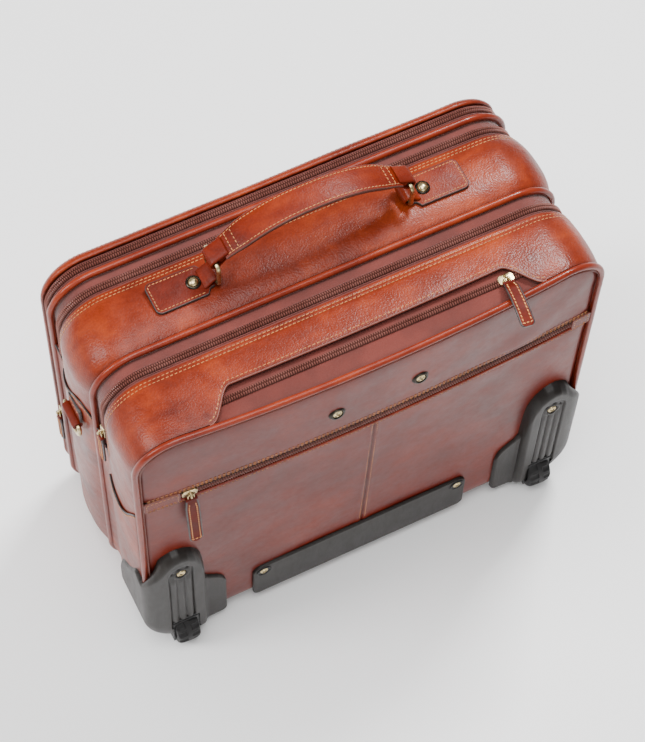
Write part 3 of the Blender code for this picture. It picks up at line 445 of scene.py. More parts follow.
def slab(piece, points, thickness, place, face, edge=None, bevel=0.0008, dome=0.0, steps=4):
    """A flat outline given thickness from 0 up, with rounded edges. place maps (u, v, height) rows to the
    case. The top may swell by dome in its middle, and the rim may have its own material."""
    points = np.asarray(points, float)
    normals = outward(points)
    rim = [(points, 0.0)]
    for i in range(steps + 1):
        a = math.pi / 2 * i / steps
        rim.append((points - normals * bevel * (1 - math.cos(a)), thickness - bevel + bevel * math.sin(a)))
    inset = points - normals * bevel
    middle = inset.mean(0)
    rings = [(inset, thickness)]
    for share in (0.12, 0.3, 0.55, 0.8, 0.97):
        ring = inset + (middle - inset) * share
        rings.append((ring, thickness + dome * (1 - (1 - share) ** 2)))

    def lift(rows):
        return np.stack([place(np.column_stack([p, np.full(len(p), h)])) for p, h in rows])

    skin = lift(rim)
    top = lift(rings)
    everything = np.vstack([skin.reshape(-1, 3), top.reshape(-1, 3)])
    centre = everything.mean(0)
    piece.grid(skin, edge or face, cyclic=(False, True), centre=centre)
    piece.grid(top, face, cyclic=(False, True), centre=centre - (top[-1].mean(0) - centre) * 3)
    m = len(points)
    piece.add(top[-1], [list(range(m))], face, centre=centre)
    piece.add(skin[0], [list(range(m))], edge or face, centre=centre)


def turned(piece, profile, centre, axis, material, steps=28):
    """A turned shape: (radius, along) points about an axis through centre."""
    axis = unit(np.array(axis, float))
    seed = np.array([0, 0, 1.0]) if abs(axis[2]) < 0.9 else np.array([1.0, 0, 0])
    side = unit(np.cross(axis, seed))
    other = np.cross(axis, side)
    a = np.linspace(0, 2 * np.pi, steps, endpoint=False)
    rows = []
    for radius, along in profile:
        rows.append(np.array(centre) + axis * along
                    + radius * (np.cos(a)[:, None] * side + np.sin(a)[:, None] * other))
    rows = np.stack(rows)
    n = len(rows)
    index = np.arange(n * steps).reshape(n, steps)
    faces = quads(index, False, True).tolist()
    faces += [index[0].tolist(), index[-1].tolist()[::-1]]
    piece.add(rows.reshape(-1, 3), faces, material)


# ---------------------------------------------------------------- materials
class Graph:
    """A material's node tree, built by short calls."""

    def __init__(self, name, roughness=0.5, metallic=0.0, coat=0.0, coat_roughness=0.1, specular=0.5, sheen=0.0,
                 sheen_roughness=0.5):
        self.material = bpy.data.materials.new(name)
        self.material.use_nodes = True
        self.tree = self.material.node_tree
        self.shader = self.tree.nodes["Principled BSDF"]
        for socket, value in (("Roughness", roughness), ("Metallic", metallic), ("Coat Weight", coat),
                              ("Coat Roughness", coat_roughness), ("Specular IOR Level", specular),
                              ("Sheen Weight", sheen), ("Sheen Roughness", sheen_roughness)):
            self.shader.inputs[socket].default_value = value
        self.place = self.node("TexCoord").outputs["Object"]

    def node(self, kind, props=None, **inputs):
        made = self.tree.nodes.new("ShaderNode" + kind)
        for key, value in (props or {}).items():
            setattr(made, key, value)
        for key, value in inputs.items():
            socket = made.inputs[int(key[1:])] if key[1:].isdigit() else made.inputs[key.replace("_", " ")]
            if isinstance(value, bpy.types.NodeSocket):
                self.tree.links.new(value, socket)
            else:
                socket.default_value = value
        return made

    def scaled(self, stretch):
        return self.node("Mapping", Vector=self.place, Scale=stretch).outputs[0]

    def noise(self, scale, detail=2.0, rough=0.5, source=None, distortion=0.0):
        made = self.node("TexNoise", Vector=source or self.place, Scale=scale, Detail=detail, Roughness=rough,
                         Distortion=distortion)
        return made.outputs["Fac"]

    def ramp(self, value, *stops):
        made = self.node("ValToRGB", i0=value)
        ramp = made.color_ramp
        while len(ramp.elements) < len(stops):
            ramp.elements.new(0.5)
        for element, (where, colour) in zip(ramp.elements, stops):
            element.position = where
            element.color = (*colour, 1.0) if len(colour) == 3 else colour
        return made.outputs["Color"]

    def span(self, value, low, high, to_low=0.0, to_high=1.0):
        return self.node("MapRange", i0=value, i1=low, i2=high, i3=to_low, i4=to_high).outputs[0]

    def math(self, kind, a, b=0.0):
        return self.node("Math", {"operation": kind}, i0=a, i1=b).outputs[0]

    def mix(self, share, a, b):
        made = self.node("Mix", {"data_type": "RGBA", "blend_type": "MIX"}, i0=share)
        for value, socket in ((a, made.inputs[6]), (b, made.inputs[7])):
            if isinstance(value, bpy.types.NodeSocket):
                self.tree.links.new(value, socket)
            else:
                socket.default_value = (*value, 1.0)
        return made.outputs[2]

    # painted shade, read from the pieces' shade attribute
    def shade(self):
        return self.node("Attribute", {"attribute_name": "shade"}).outputs["Fac"]

    def relief(self, height, distance, strength=1.0):
        return self.node("Bump", Strength=strength, Distance=distance, Height=height).outputs[0]

    def finish(self, colour=None, roughness=None, normal=None):
        for name, value in (("Base Color", colour), ("Roughness", roughness), ("Normal", normal)):
            if value is not None:
                self.tree.links.new(value, self.shader.inputs[name])
        if normal is not None and self.shader.inputs["Coat Weight"].default_value > 0:
            self.tree.links.new(normal, self.shader.inputs["Coat Normal"])
        return self.material


def leather(name, dark, middle, light, grain=1.0, wrinkles=1.0, rough=(0.32, 0.44), coat=0.05, coat_roughness=0.16,
            specular=0.22):
    """Full-grain vegetable-tanned leather: mottled dye, pebbled grain, fine creases, rubbed high spots and painted
    shade.
    """
    g = Graph(name, coat=coat, coat_roughness=coat_roughness, specular=specular)
    broad = g.noise(11.0, 3.0, 0.55, distortion=0.6)
    patches = g.noise(48.0, 4.0, 0.6)
    streaks = g.noise(26.0, 4.0, 0.55, source=g.scaled((1.0, 2.4, 1.7)), distortion=1.2)
    tone = g.math("ADD", g.math("MULTIPLY", broad, 0.55), g.math("MULTIPLY", patches, 0.25))
    tone = g.math("ADD", tone, g.math("MULTIPLY", streaks, 0.20))
    colour = g.ramp(tone, (0.36, dark), (0.50, middle), (0.64, light))
    warp = g.node("VectorMath", {"operation": "ADD"}, i0=g.place,
                  i1=g.node("VectorMath", {"operation": "SCALE"},
                            i0=g.node("TexNoise", Vector=g.place, Scale=130.0, Detail=2.0).outputs["Color"],
                            Scale=0.0022).outputs[0]).outputs[0]
    cells = g.node("TexVoronoi", {"feature": "SMOOTH_F1"}, Vector=warp, Scale=620.0,
                   Smoothness=0.5).outputs["Distance"]
    pores = g.noise(1500.0, 2.0, 0.6)
    folds = g.noise(170.0, 3.0, 0.55, source=g.scaled((1.0, 0.7, 0.9)), distortion=0.3)
    creases = g.node("TexNoise", {"noise_dimensions": "3D"}, Vector=g.scaled((1.0, 1.6, 1.2)), Scale=62.0,
                     Detail=5.0, Roughness=0.60, Distortion=0.5).outputs["Fac"]
    crease_line = g.span(g.math("ABSOLUTE", g.math("SUBTRACT", creases, 0.5)), 0.0, 0.045)
    height = g.math("ADD", g.math("MULTIPLY", cells, -0.42 * grain), g.math("MULTIPLY", folds, 0.50 * wrinkles))
    height = g.math("ADD", height, g.math("MULTIPLY", pores, 0.10 * grain))
    height = g.math("ADD", height, g.math("MULTIPLY", crease_line, 0.05 * wrinkles))
    pits = g.span(cells, 0.25, 0.75, 1.0, 0.80)
    colour = g.mix(g.math("MULTIPLY", g.math("SUBTRACT", 1.0, pits), 1.0), colour, tuple(c * 0.35 for c in dark))
    # painted shade from the shade attribute
    colour = g.mix(g.span(g.shade(), 0.0, 1.0, 0.0, 0.85), colour, tuple(c * 0.22 for c in dark))
    roughness = g.span(g.math("ADD", g.math("MULTIPLY", patches, 0.6), g.math("MULTIPLY", folds, 0.4)), 0.35, 0.65,
                       *rough)
    return g.finish(colour, roughness, g.relief(height, 0.0008 * max(grain, 0.5), 0.45))


def painted_edge(name, colour):
    """A leather edge sealed with dark dye."""
    g = Graph(name, coat=0.15, coat_roughness=0.3)
    grime = g.noise(260.0, 4.0, 0.6)
    return g.finish(g.mix(grime, colour, tuple(c * 2.4 + 0.004 for c in colour)),
                    g.span(grime, 0.3, 0.7, 0.38, 0.62), g.relief(g.noise(900.0, 3.0), 0.0002, 0.5))


def thread(name, colour):
    g = Graph(name, roughness=0.6, sheen=0.25)
    twist = g.node("TexWave", {"wave_type": "BANDS", "bands_direction": "DIAGONAL"}, Vector=g.place, Scale=620.0,
                   Distortion=0.6).outputs["Fac"]
    wear = g.noise(90.0, 3.0)
    tone = g.mix(g.span(wear, 0.35, 0.65), colour, tuple(c * 0.55 for c in colour))
    return g.finish(g.mix(g.math("MULTIPLY", twist, 0.35), tone, tuple(c * 0.4 for c in colour)), None,
                    g.relief(twist, 0.0002, 0.7))


def woven(name, colour, pitch=0.0008, rough=(0.68, 0.86), sheen=0.3):
    """Plain-woven tape or lining: the weave follows the piece's own length and width."""
    g = Graph(name, sheen=sheen, sheen_roughness=0.5, specular=0.3)
    uv = g.node("SeparateXYZ", Vector=g.node("TexCoord").outputs["UV"])
    turn = 2 * math.pi / pitch
    along = g.math("SINE", g.math("MULTIPLY", uv.outputs[0], turn))
    across = g.math("SINE", g.math("MULTIPLY", uv.outputs[1], turn))
    weave = g.math("MULTIPLY", along, across)
    fuzz = g.noise(700.0, 3.0)
    fade = g.noise(30.0, 3.0)
    tone = g.mix(g.span(fade, 0.35, 0.65), tuple(c * 0.78 for c in colour), tuple(min(c * 1.18, 1) for c in colour))
    tone = g.mix(g.span(weave, -1.0, 1.0, 0.35, 0.0), tone, tuple(c * 0.35 for c in colour))
    # painted shade from the shade attribute
    tone = g.mix(g.span(g.shade(), 0.0, 1.0, 0.0, 0.9), tone, tuple(c * 0.15 for c in colour))
    height = g.math("ADD", g.math("MULTIPLY", weave, 0.5), g.math("MULTIPLY", fuzz, 0.5))
    return g.finish(tone, g.span(fuzz, 0.3, 0.7, *rough), g.relief(height, 0.0003, 0.6))


def fabric(name, colour, scale=900.0):
    """Lining cloth whose weave doesn't need a piece's own directions."""
    g = Graph(name, sheen=0.35, specular=0.25)
    warp, weft = [g.node("TexWave", {"bands_direction": way}, Vector=g.place, Scale=scale / 6.3,
                         Distortion=0.4).outputs["Fac"] for way in "XZ"]
    weave = g.math("MULTIPLY", warp, weft)
    fade = g.noise(25.0, 3.0)
    tone = g.mix(g.span(fade, 0.35, 0.65), tuple(c * 0.8 for c in colour), tuple(c * 1.2 for c in colour))
    tone = g.mix(g.math("MULTIPLY", weave, 0.4), tone, tuple(c * 0.45 for c in colour))
    return g.finish(tone, g.span(fade, 0.3, 0.7, 0.78, 0.9), g.relief(weave, 0.0003, 0.6))


def moulded(name, dark, light, rough=(0.36, 0.5), grain=0.25, size=1400.0, coat=0.0, specular=0.24):
    """Moulded plastic or rubber with a fine texture and slight scuffs."""
    g = Graph(name, coat=coat, coat_roughness=0.3, specular=specular)
    cloud = g.noise(24.0, 4.0, 0.6)
    scuffs = g.noise(120.0, 5.0, 0.7, source=g.scaled((1.0, 1.0, 0.25)), distortion=1.0)
    fine = g.noise(size, 2.0)
    tone = g.mix(g.span(cloud, 0.35, 0.65), dark, light)
    tone = g.mix(g.span(scuffs, 0.60, 0.80, 0.0, 0.25), tone, tuple(min(c * 2.0, 1) for c in light))
    # painted shade from the shade attribute
    tone = g.mix(g.span(g.shade(), 0.0, 1.0, 0.0, 0.9), tone, (0.002, 0.002, 0.002))
    roughness = g.span(g.math("ADD", g.math("MULTIPLY", fine, 0.4), g.math("MULTIPLY", scuffs, 0.6)), 0.3, 0.7,
                       *rough)
    return g.finish(tone, roughness, g.relief(fine, 0.0002, grain))


def metal(name, base, patina, rough=(0.22, 0.4), brushed=False):
    g = Graph(name, metallic=1.0)
    stain = g.noise(150.0, 5.0, 0.65, distortion=0.8)
    fine = g.noise(1100.0, 3.0, source=g.scaled((1.0, 1.0, 0.02)) if brushed else None)
    tone = g.mix(g.span(stain, 0.48, 0.72), base, patina)
    # painted shade from the shade attribute, as in the screws' cross slots
    tone = g.mix(g.span(g.shade(), 0.0, 1.0, 0.0, 0.9), tone, tuple(c * 0.12 for c in patina))
    return g.finish(tone, g.span(g.math("ADD", g.math("MULTIPLY", stain, 0.5), g.math("MULTIPLY", fine, 0.5)), 0.35,
                                 0.65, *rough), g.relief(fine, 0.00012, 0.35))


BODY = leather("leather_body", (0.096, 0.0088, 0.0024), (0.190, 0.0197, 0.0036), (0.300, 0.0390, 0.0058))
# the body's leather with finer grain; its darker tones are painted shade for the rear face
REAR = leather("leather_rear", (0.085, 0.0075, 0.0030), (0.125, 0.0110, 0.0040), (0.175, 0.0170, 0.0050),
               grain=0.35, wrinkles=0.35, rough=(0.32, 0.44), coat=0.03, coat_roughness=0.22, specular=0.21)
TRIM = leather("leather_trim", (0.070, 0.0056, 0.0018), (0.135, 0.0115, 0.0026), (0.215, 0.0235, 0.0042), grain=0.9,
               wrinkles=0.8, rough=(0.36, 0.50), coat=0.02, coat_roughness=0.18, specular=0.13)
PULL = leather("leather_pull", (0.060, 0.0040, 0.0014), (0.105, 0.0078, 0.0020), (0.160, 0.0150, 0.0030), grain=0.5,
               wrinkles=0.5, rough=(0.45, 0.60), coat=0.0, coat_roughness=0.2, specular=0.12)
CORD = leather("leather_piping", (0.125, 0.0110, 0.0035), (0.195, 0.0190, 0.0045), (0.270, 0.0320, 0.0060),
               grain=0.2, wrinkles=0.4, rough=(0.27, 0.38), coat=0.10, coat_roughness=0.12, specular=0.28)
EDGE = painted_edge("painted_edge", (0.012, 0.006, 0.005))
FOLD = painted_edge("folded_edge", (0.075, 0.013, 0.006))
THREAD = thread("thread_tan", (0.58, 0.21, 0.050))
EDGE_WARM = painted_edge("painted_edge_brown", (0.040, 0.010, 0.006))
THREAD_BRIGHT = thread("thread_gold", (0.78, 0.30, 0.070))
TAPE = woven("zip_tape_maroon", (0.130, 0.0200, 0.0125))
COIL = moulded("zip_coil_maroon", (0.170, 0.055, 0.042), (0.260, 0.100, 0.080), rough=(0.26, 0.40), grain=0.1)
CLOTH = fabric("lining_cloth", (0.150, 0.105, 0.072))
BRASS = metal("antique_brass_metal", (0.62, 0.50, 0.27), (0.24, 0.17, 0.08))
BRASS_DARK = metal("blackened_brass", (0.045, 0.038, 0.030), (0.015, 0.012, 0.010), rough=(0.3, 0.45))
TUBE = metal("trolley_aluminium", (0.62, 0.63, 0.65), (0.50, 0.51, 0.53), rough=(0.25, 0.36), brushed=True)
PLASTIC = moulded("charcoal_plastic", (0.0115, 0.0092, 0.0080), (0.0195, 0.0160, 0.0140))
BLACK = moulded("black_plastic", (0.004, 0.004, 0.004), (0.009, 0.008, 0.008), rough=(0.3, 0.45))
RUBBER = moulded("wheel_tyre", (0.007, 0.0065, 0.0065), (0.014, 0.013, 0.013), rough=(0.45, 0.65), grain=0.5)
BOARD = fabric("base_board_cloth", (0.055, 0.045, 0.038), 700.0)


# ---------------------------------------------------------------- leather bands
REAR_START = 0.0049
SLOT_MIDDLE = -0.0042
SLOT_STRAIGHT_HALF = 0.1227
SLOT_RUN_OUT = 0.0290
SLOT_HALF = 0.1545


def slot_edge(x):
    """Depth at which the rear band's leather starts, beside and in front of the trolley slot."""
    past = (np.abs(x - SLOT_MIDDLE) - SLOT_STRAIGHT_HALF) / SLOT_RUN_OUT
    return REAR_START + (SLOT_FRONT - REAR_START) * (1 - smooth(past))


def band_offset(depth, start, end, crown, power=2.6):
    share = np.clip((depth - start) / (end - start), 0, 1)
    return crown * (1 - np.abs(2 * share - 1) ** power)


ring = Outline("ring")
WELL = (0.1625, 0.2055, 0.0355, 0.0445)


def outside_well(points):
    """False inside the rear corners' room for the wheels."""
    x, depth, z = np.abs(points[:, 0]), REAR_Y - points[:, 1], points[:, 2] - FLOOR_GAP
    return ~((x > WELL[0]) & (x < WELL[1]) & (depth < WELL[2]) & (z < WELL[3]))


def uneven(outline, points, seed):
    """How a band's thick leather swells and dips, with short creases across it at the upper corners."""
    swell = lumps(points, 0.070, seed) * 0.0007 + lumps(points, 0.022, seed + 1) * 0.00030
    corner = np.clip(1 - np.abs(np.abs(outline.nx) - 0.70) / 0.45, 0, 1)[:, None] * (outline.nz > -0.05)[:, None]
    return swell + corner * lumps(points * np.array([1.0, 0.25, 1.0]), 0.0105, seed + 2) * 0.00042


def leather_band(start, end, crown, rows, seed):
    """A band of leather round the case with its stitch rows, folded edge and swelling."""
    piece = Piece()
    o = ring
    start = np.broadcast_to(np.asarray(start, float), o.x.shape)
    share = (1 - np.cos(np.pi * np.linspace(0, 1, 27))) / 2 * 0.5 + np.linspace(0, 1, 27) * 0.5
    depth = start[:, None] + (end - start)[:, None] * share[None]
    nominal = start.min()
    flat = band_offset(depth, nominal, end, crown)
    body_points = o.points(depth, flat, 0.0)
    wave = uneven(o, body_points, seed)
    fade = smooth((depth - start[:, None]) / 0.008) * smooth((end - depth) / 0.006)
    offset = flat + wave * fade
    for row in rows:
        offset = offset - 0.00045 * bump(depth, row, 0.0008)
    offset = offset + 0.0003 * bump(depth, end - 0.0012, 0.0014)
    under = np.clip(offset * 0.3, -0.001, 0.0004)
    # painted shade at the band's two edges and along its stitch rows
    shade = 0.55 * bump(depth, start[:, None], 0.0016) + 0.25 * bump(depth, end, 0.0012)
    for row in rows:
        shade = shade + 0.22 * bump(depth, row, 0.0009)
    lip = o.points(np.stack([start + 0.0002, start], -1),
                   np.stack([offset[:, 0] - 0.0032, offset[:, 0] - 0.0012], -1), -0.0015)
    front = o.points(np.stack([0 * start + end + 0.0003, 0 * start + end - 0.0006], -1),
                     np.stack([offset[:, -1] - 0.0013, offset[:, -1] - 0.0034], -1), -0.0015)
    body_points = np.concatenate([lip, o.points(depth, offset, under), front], 1)
    # painted shade on the folded lip and front edge
    shade = np.concatenate([np.full(lip.shape[:2], 0.9), shade, np.full(front.shape[:2], 0.9)], 1)
    piece.grid(body_points, BODY, cyclic=(True, False), centre=INSIDE, shade=shade, keep=outside_well)
    for row in rows:
        arch = Outline("arch", SIDE_ZIP_END + 0.004, 0.002)
        lift = band_offset(np.array([row]), nominal, end, crown)[0]
        probe = arch.points(row, lift)
        near = uneven(arch, probe, seed) * smooth(min((end - row) / 0.006, 1.0)) - 0.00035
        path = arch.points(row, lift + near)[:, 0]
        stitches(piece, path, arch.normal, THREAD, pitch=0.0039, length=0.0029, radius=0.00040)
    return piece


def rear_band():
    on_top = (ring.nz > 0.5) & (np.abs(ring.x - SLOT_MIDDLE) < SLOT_HALF)
    start = np.where(on_top, slot_edge(ring.x), REAR_START)
    piece = leather_band(start, REAR_END, REAR_CROWN, (0.0576, 0.0540), 1)
    # painted rim and stitches beside the trolley slot
    x = np.linspace(0.1485, -0.1568, 224)

    def on_slot(shift, lift):
        depth = slot_edge(x) + shift
        z = LEATHER_HEIGHT - TOP_FALL * depth + band_offset(depth, REAR_START, REAR_END, REAR_CROWN)
        lean = bow(x, LEATHER_HEIGHT) * np.clip(1 - depth / BOW_REACH, 0, None)
        return at(x, depth - lean, z + lift)

    tube(piece, on_slot(-0.0002, -0.0009), 0.0011, FOLD, 8)
    stitches(piece, on_slot(0.0026, -0.0002), (0, 0, 1), THREAD, pitch=0.0040, length=0.0030)
    return piece.done("rear_band", "rear_section", "leather", ("rear_gusset",))


def middle_band():
    piece = leather_band(MIDDLE_START, MIDDLE_END, MIDDLE_CROWN, (0.1488, 0.1452), 5)
    return piece.done("middle_band", "middle_section", "leather", ("middle_gusset",))


def side_flap(name, body, slot_name, curve, start, end, crown, side, seed):
    """A leather side panel whose curved upper edge is sealed with black dye, lying over a band."""
    piece = Piece()
    depths = np.array([p[0] for p in curve])
    heights = np.array([p[1] for p in curve])
    order = np.argsort(depths)
    d = np.linspace(start, end, 26)
    fine = np.interp(d, depths[order], heights[order])
    for _ in range(3):
        fine[1:-1] = (fine[:-2] + 2 * fine[1:-1] + fine[2:]) / 4
    low = 0.050
    t = np.linspace(0, 1, 40) ** 0.8
    z = fine[None] * (1 - t[:, None]) + low * t[:, None]
    depth = np.broadcast_to(d, z.shape)
    lift = band_offset(depth, start, end, crown) + 0.0013 * (1 - smooth((t[:, None] - 0.55) / 0.45)) + 0.0001
    where = at(side * HALF * np.ones(z.shape), depth, z)
    lift = lift + lumps(where, 0.05, seed) * 0.0004 * smooth(t[:, None] / 0.1)
    points = at(side * (HALF + lift), depth, z)
    rim = at(side * (HALF + lift[0] - 0.0014), d, z[0] + 0.0001)[None]
    points = np.concatenate([rim, points], 0)
    # painted shade on the rim row tucked under the black edge
    piece.grid(points, BODY, centre=INSIDE, shade=np.concatenate([np.ones((1, 26)), 0 * z], 0))
    tube(piece, at(side * (HALF + lift[0] - 0.0003), d, z[0]), 0.0009, EDGE, 8)
    path = at(side * (HALF + lift[2]), d, z[0] - 0.0032)
    stitches(piece, path, (side, 0, 0), THREAD, pitch=0.0040)
    return piece.done(name, body, slot_name)


def flaps():
    rear_curve = ((0.0055, 0.262), (0.0117, 0.2555), (0.0180, 0.243), (0.0249, 0.2336), (0.0300, 0.2280),
                  (0.0356, 0.2255), (0.0440, 0.2258), (0.0523, 0.2293), (0.0600, 0.2400), (0.0644, 0.2519))
    middle_curve = ((0.0896, 0.2925), (0.0945, 0.3000), (0.1000, 0.3040), (0.1060, 0.3040), (0.1132, 0.2990),
                    (0.1210, 0.2900), (0.1284, 0.2834), (0.1377, 0.2782), (0.1460, 0.2765), (0.1516, 0.2762))
    for side, word in SIDES:
        side_flap(f"rear_side_flap_{word}", "rear_section", "leather", rear_curve, 0.0056, 0.0600, REAR_CROWN, side,
                  21)
        side_flap(f"middle_side_flap_{word}", "middle_section", "leather", middle_curve, 0.0896, 0.1514,
                  MIDDLE_CROWN, side, 22)


# ---------------------------------------------------------------- piping
def piped(name, body, slot_name, depth, replaces, cyclic=True, low=None, welt=0.0022):
    piece = Piece()
    o = Outline("ring" if cyclic else "arch", BOTTOM_RADIUS if cyclic else low, 0.0022)
    centre = o.points(depth, -0.0006)[:, 0]
    wobble = 1 + 0.035 * lumps(centre, 0.018, depth * 100)
    tube(piece, centre, 0.0030 * wobble, CORD, 12, cyclic=cyclic)
    # the folded welts in the seams beside the cord: dark edge leather with painted shade, standing in for the
    # seam's shadow
    for shift in (-welt, welt):
        strip = o.points(np.array([depth + shift * 0.5, depth + shift * 1.3]), np.array([-0.0030, -0.0042]))
        piece.grid(strip, FOLD, cyclic=(cyclic, False), centre=INSIDE, shade=0.6)
    return piece.done(name, body, slot_name, replaces)


def pipings():
    piped("rear_piping_cord", "rear_section", "leather_trim", 0.0016, ("rear_piping",), cyclic=False, low=0.118)
    piped("middle_piping_cord", "middle_section", "leather_trim", PIPING_B, ("middle_piping",))
    piped("front_piping_cord", "organiser_section", "leather_trim", PIPING_C, ("front_piping",))


# ---------------------------------------------------------------- zips
COIL_PITCH = 0.0021


def coil_half(piece, base, side_way, out, s, side, width=0.0033):
    """Half of a nylon coil: a ribbed half-round strip. base is the tape's middle line, side_way points
    from it to this half and out away from the case, one row each."""
    rib = 0.5 - 0.5 * np.cos(2 * np.pi * (s / COIL_PITCH + (0.0 if side > 0 else 0.5)))
    across = np.array([0.04, 0.16, 0.38, 0.62, 0.84, 1.0])
    height = np.array([0.55, 0.92, 1.0, 0.92, 0.62, 0.0])
    rise = 0.0033 * height[None] * (0.52 + 0.48 * rib[:, None])
    spread = width * across[None] * (0.95 + 0.05 * rib[:, None])
    points = base[:, None] + side_way[:, None] * spread[..., None] + out[:, None] * rise[..., None]
    skirt = base + side_way * width * 0.02
    points = np.concatenate([skirt[:, None], points], 1)
    # painted shade: dark at the coil's foot on the tape, in the gaps between its teeth and along its outer edge
    shade = np.concatenate([np.full((len(s), 1), 1.0), (1 - rib[:, None]) * 0.95 * np.ones((1, len(across)))], 1)
    shade[:, -1] = 0.9
    piece.grid(points, COIL, centre=INSIDE, shade=shade)


def section_zip(name, body, node, tape_edge, centre, low):
    """Half a zip between two sections: woven tape with half the coil, round the case's arch."""
    piece = Piece()
    o = Outline("arch", low, 0.004)
    side = 1 if tape_edge > centre else -1
    depths = np.linspace(tape_edge, centre + side * 0.0004, 9)
    tape = np.full((len(o.x), 9), -0.0037)
    probe = o.points(depths, tape)
    tape = tape + lumps(probe, 0.03, centre * 50 + side) * 0.00035
    uv = np.stack(np.broadcast_arrays(o.s[:, None], depths[None]), -1)
    edge = np.abs(depths - tape_edge)
    # painted shade where the tape goes under the leather, and in a line beside the coil
    shade = np.broadcast_to(0.8 * np.exp(-(edge / 0.0018) ** 2)
                            + 0.45 * bump(np.abs(depths - centre), 0.0031, 0.0006),
                            tape.shape)
    piece.grid(o.points(depths, tape), TAPE, uv=uv, centre=INSIDE, shade=shade)
    fine = o.finer(COIL_PITCH / 4)
    base = fine.points(centre, -0.0034)[:, 0]
    side_way = np.broadcast_to([0.0, -float(side), 0.0], base.shape)
    coil_half(piece, base, side_way, fine.normal, fine.s, side)
    ridge = o.points(np.array([centre + side * 0.0042]), -0.0033)[:, 0]
    tube(piece, ridge, 0.00045, TAPE, 6)
    return piece.done(name, body, "zip_tape", (node,))


# Depths at which the tapes are sewn under the leather, and heights at which the coils end
TAPE_1_REAR, TAPE_1_FRONT = 0.0552, 0.0834
TAPE_2_REAR, TAPE_2_FRONT = 0.1462, 0.1712
TAPE_3_REAR, TAPE_3_FRONT = 0.1768, 0.1898
SIDE_COIL_END = SIDE_ZIP_END - 0.008
FRONT_COIL_END = FRONT_ZIP_END - 0.006


def section_zips():
    for half, body, sewn, zip_depth, low in (
            ("zip_1_rear", "rear_section", TAPE_1_REAR, ZIP_1, SIDE_COIL_END),
            ("zip_1_middle", "middle_section", TAPE_1_FRONT, ZIP_1, SIDE_COIL_END),
            ("zip_2_middle", "middle_section", TAPE_2_REAR, ZIP_2, SIDE_COIL_END),
            ("zip_2_front", "organiser_section", TAPE_2_FRONT, ZIP_2, SIDE_COIL_END),
            ("zip_3_rear", "organiser_section", TAPE_3_REAR, ZIP_3, FRONT_COIL_END),
            ("zip_3_front", "front_pocket", TAPE_3_FRONT, ZIP_3, FRONT_COIL_END)):
        section_zip(half + "_half", body, half + "_tape", sewn, zip_depth, low)


def pocket_zip():
    """The rear pocket's zip in its slit, bowed with the panel."""
    piece = Piece()
    x = np.arange(0.2075, -0.2075, -COIL_PITCH / 4)
    s = x[0] - x
    slope = -2 * x / HALF ** 2 * REAR_BOW * (POCKET_ZIP_HEIGHT - KICK_HEIGHT) / (LEATHER_HEIGHT - KICK_HEIGHT)
    out = unit(np.stack([-slope, 0 * x + 1, 0 * x], -1))
    coarse = x[::10]
    up = np.linspace(-0.0115, 0.0115, 11)
    depth = 0.0018 - bow(coarse, POCKET_ZIP_HEIGHT)[:, None] + 0 * up[None]
    points = at(coarse[:, None] + 0 * up, depth, POCKET_ZIP_HEIGHT + up[None] + 0 * depth)
    uv = np.stack(np.broadcast_arrays(s[::10][:, None], up[None]), -1)
    # painted shade towards the tape's edges, under the panels' lips
    shade = np.broadcast_to(0.75 * smooth((np.abs(up) - 0.0040) / 0.0028), depth.shape)
    piece.grid(points, TAPE, uv=uv, centre=INSIDE, shade=shade)
    base = at(x, 0.0015 - bow(x, POCKET_ZIP_HEIGHT), POCKET_ZIP_HEIGHT)
    for side in (1, -1):
        way = np.broadcast_to([0.0, 0.0, float(side)], base.shape)
        coil_half(piece, base, way, out, s, side, 0.0027)
    return piece.done("rear_pocket_zipper", "rear_section", "zip_tape", ("rear_pocket_zip",))


def slot_zip_dip(x):
    """How far the slot's zip dips under the leather towards its two ends."""
    return 0.0030 * smooth((np.abs(x + 0.0055) - 0.1395) / 0.010)


def slot_zips():
    """The zip over the trolley slot, in two halves."""
    top = LEATHER_HEIGHT - 0.0052
    for word, side in (("rear", -1), ("front", 1)):
        piece = Piece()
        x = np.arange(-0.1570, 0.1460, COIL_PITCH / 4)
        coarse = x[::10]
        if side < 0:
            edge = 0.0050 - bow(coarse, LEATHER_HEIGHT) + 0.0005
        else:
            edge = np.full(len(coarse), SLOT_ZIP + 0.0178)
        share = np.linspace(0, 1, 10)
        depth = edge[:, None] + (SLOT_ZIP - edge[:, None]) * share[None]
        sag = (lumps(at(coarse[:, None], depth, top), 0.03, 31 + side) * 0.0003
               - 0.0006 * np.sin(np.pi * share)[None])
        end = slot_zip_dip(coarse)[:, None]
        points = at(coarse[:, None] + 0 * depth, depth, top + sag - end)
        uv = np.stack(np.broadcast_arrays(coarse[:, None] + 0 * depth, depth), -1)
        # painted shade where the tape goes under the leather, and beside the coil
        shade = (0.85 * np.exp(-((depth - edge[:, None]) / 0.0022) ** 2)
                 + 0.4 * bump(np.abs(depth - SLOT_ZIP), 0.0032, 0.0006))
        piece.grid(points, TAPE, uv=uv, centre=INSIDE, shade=shade)
        base = at(x, np.full(len(x), SLOT_ZIP), top + 0.0002 - slot_zip_dip(x))
        way = np.broadcast_to([0.0, -float(side), 0.0], base.shape)
        out = np.broadcast_to([0.0, 0.0, 1.0], base.shape)
        coil_half(piece, base, way, out, x, side)
        obj = piece.done(f"slot_zip_{word}_half", "rear_section", "zip_tape", (f"slot_zip_{word}",))
        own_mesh(obj)


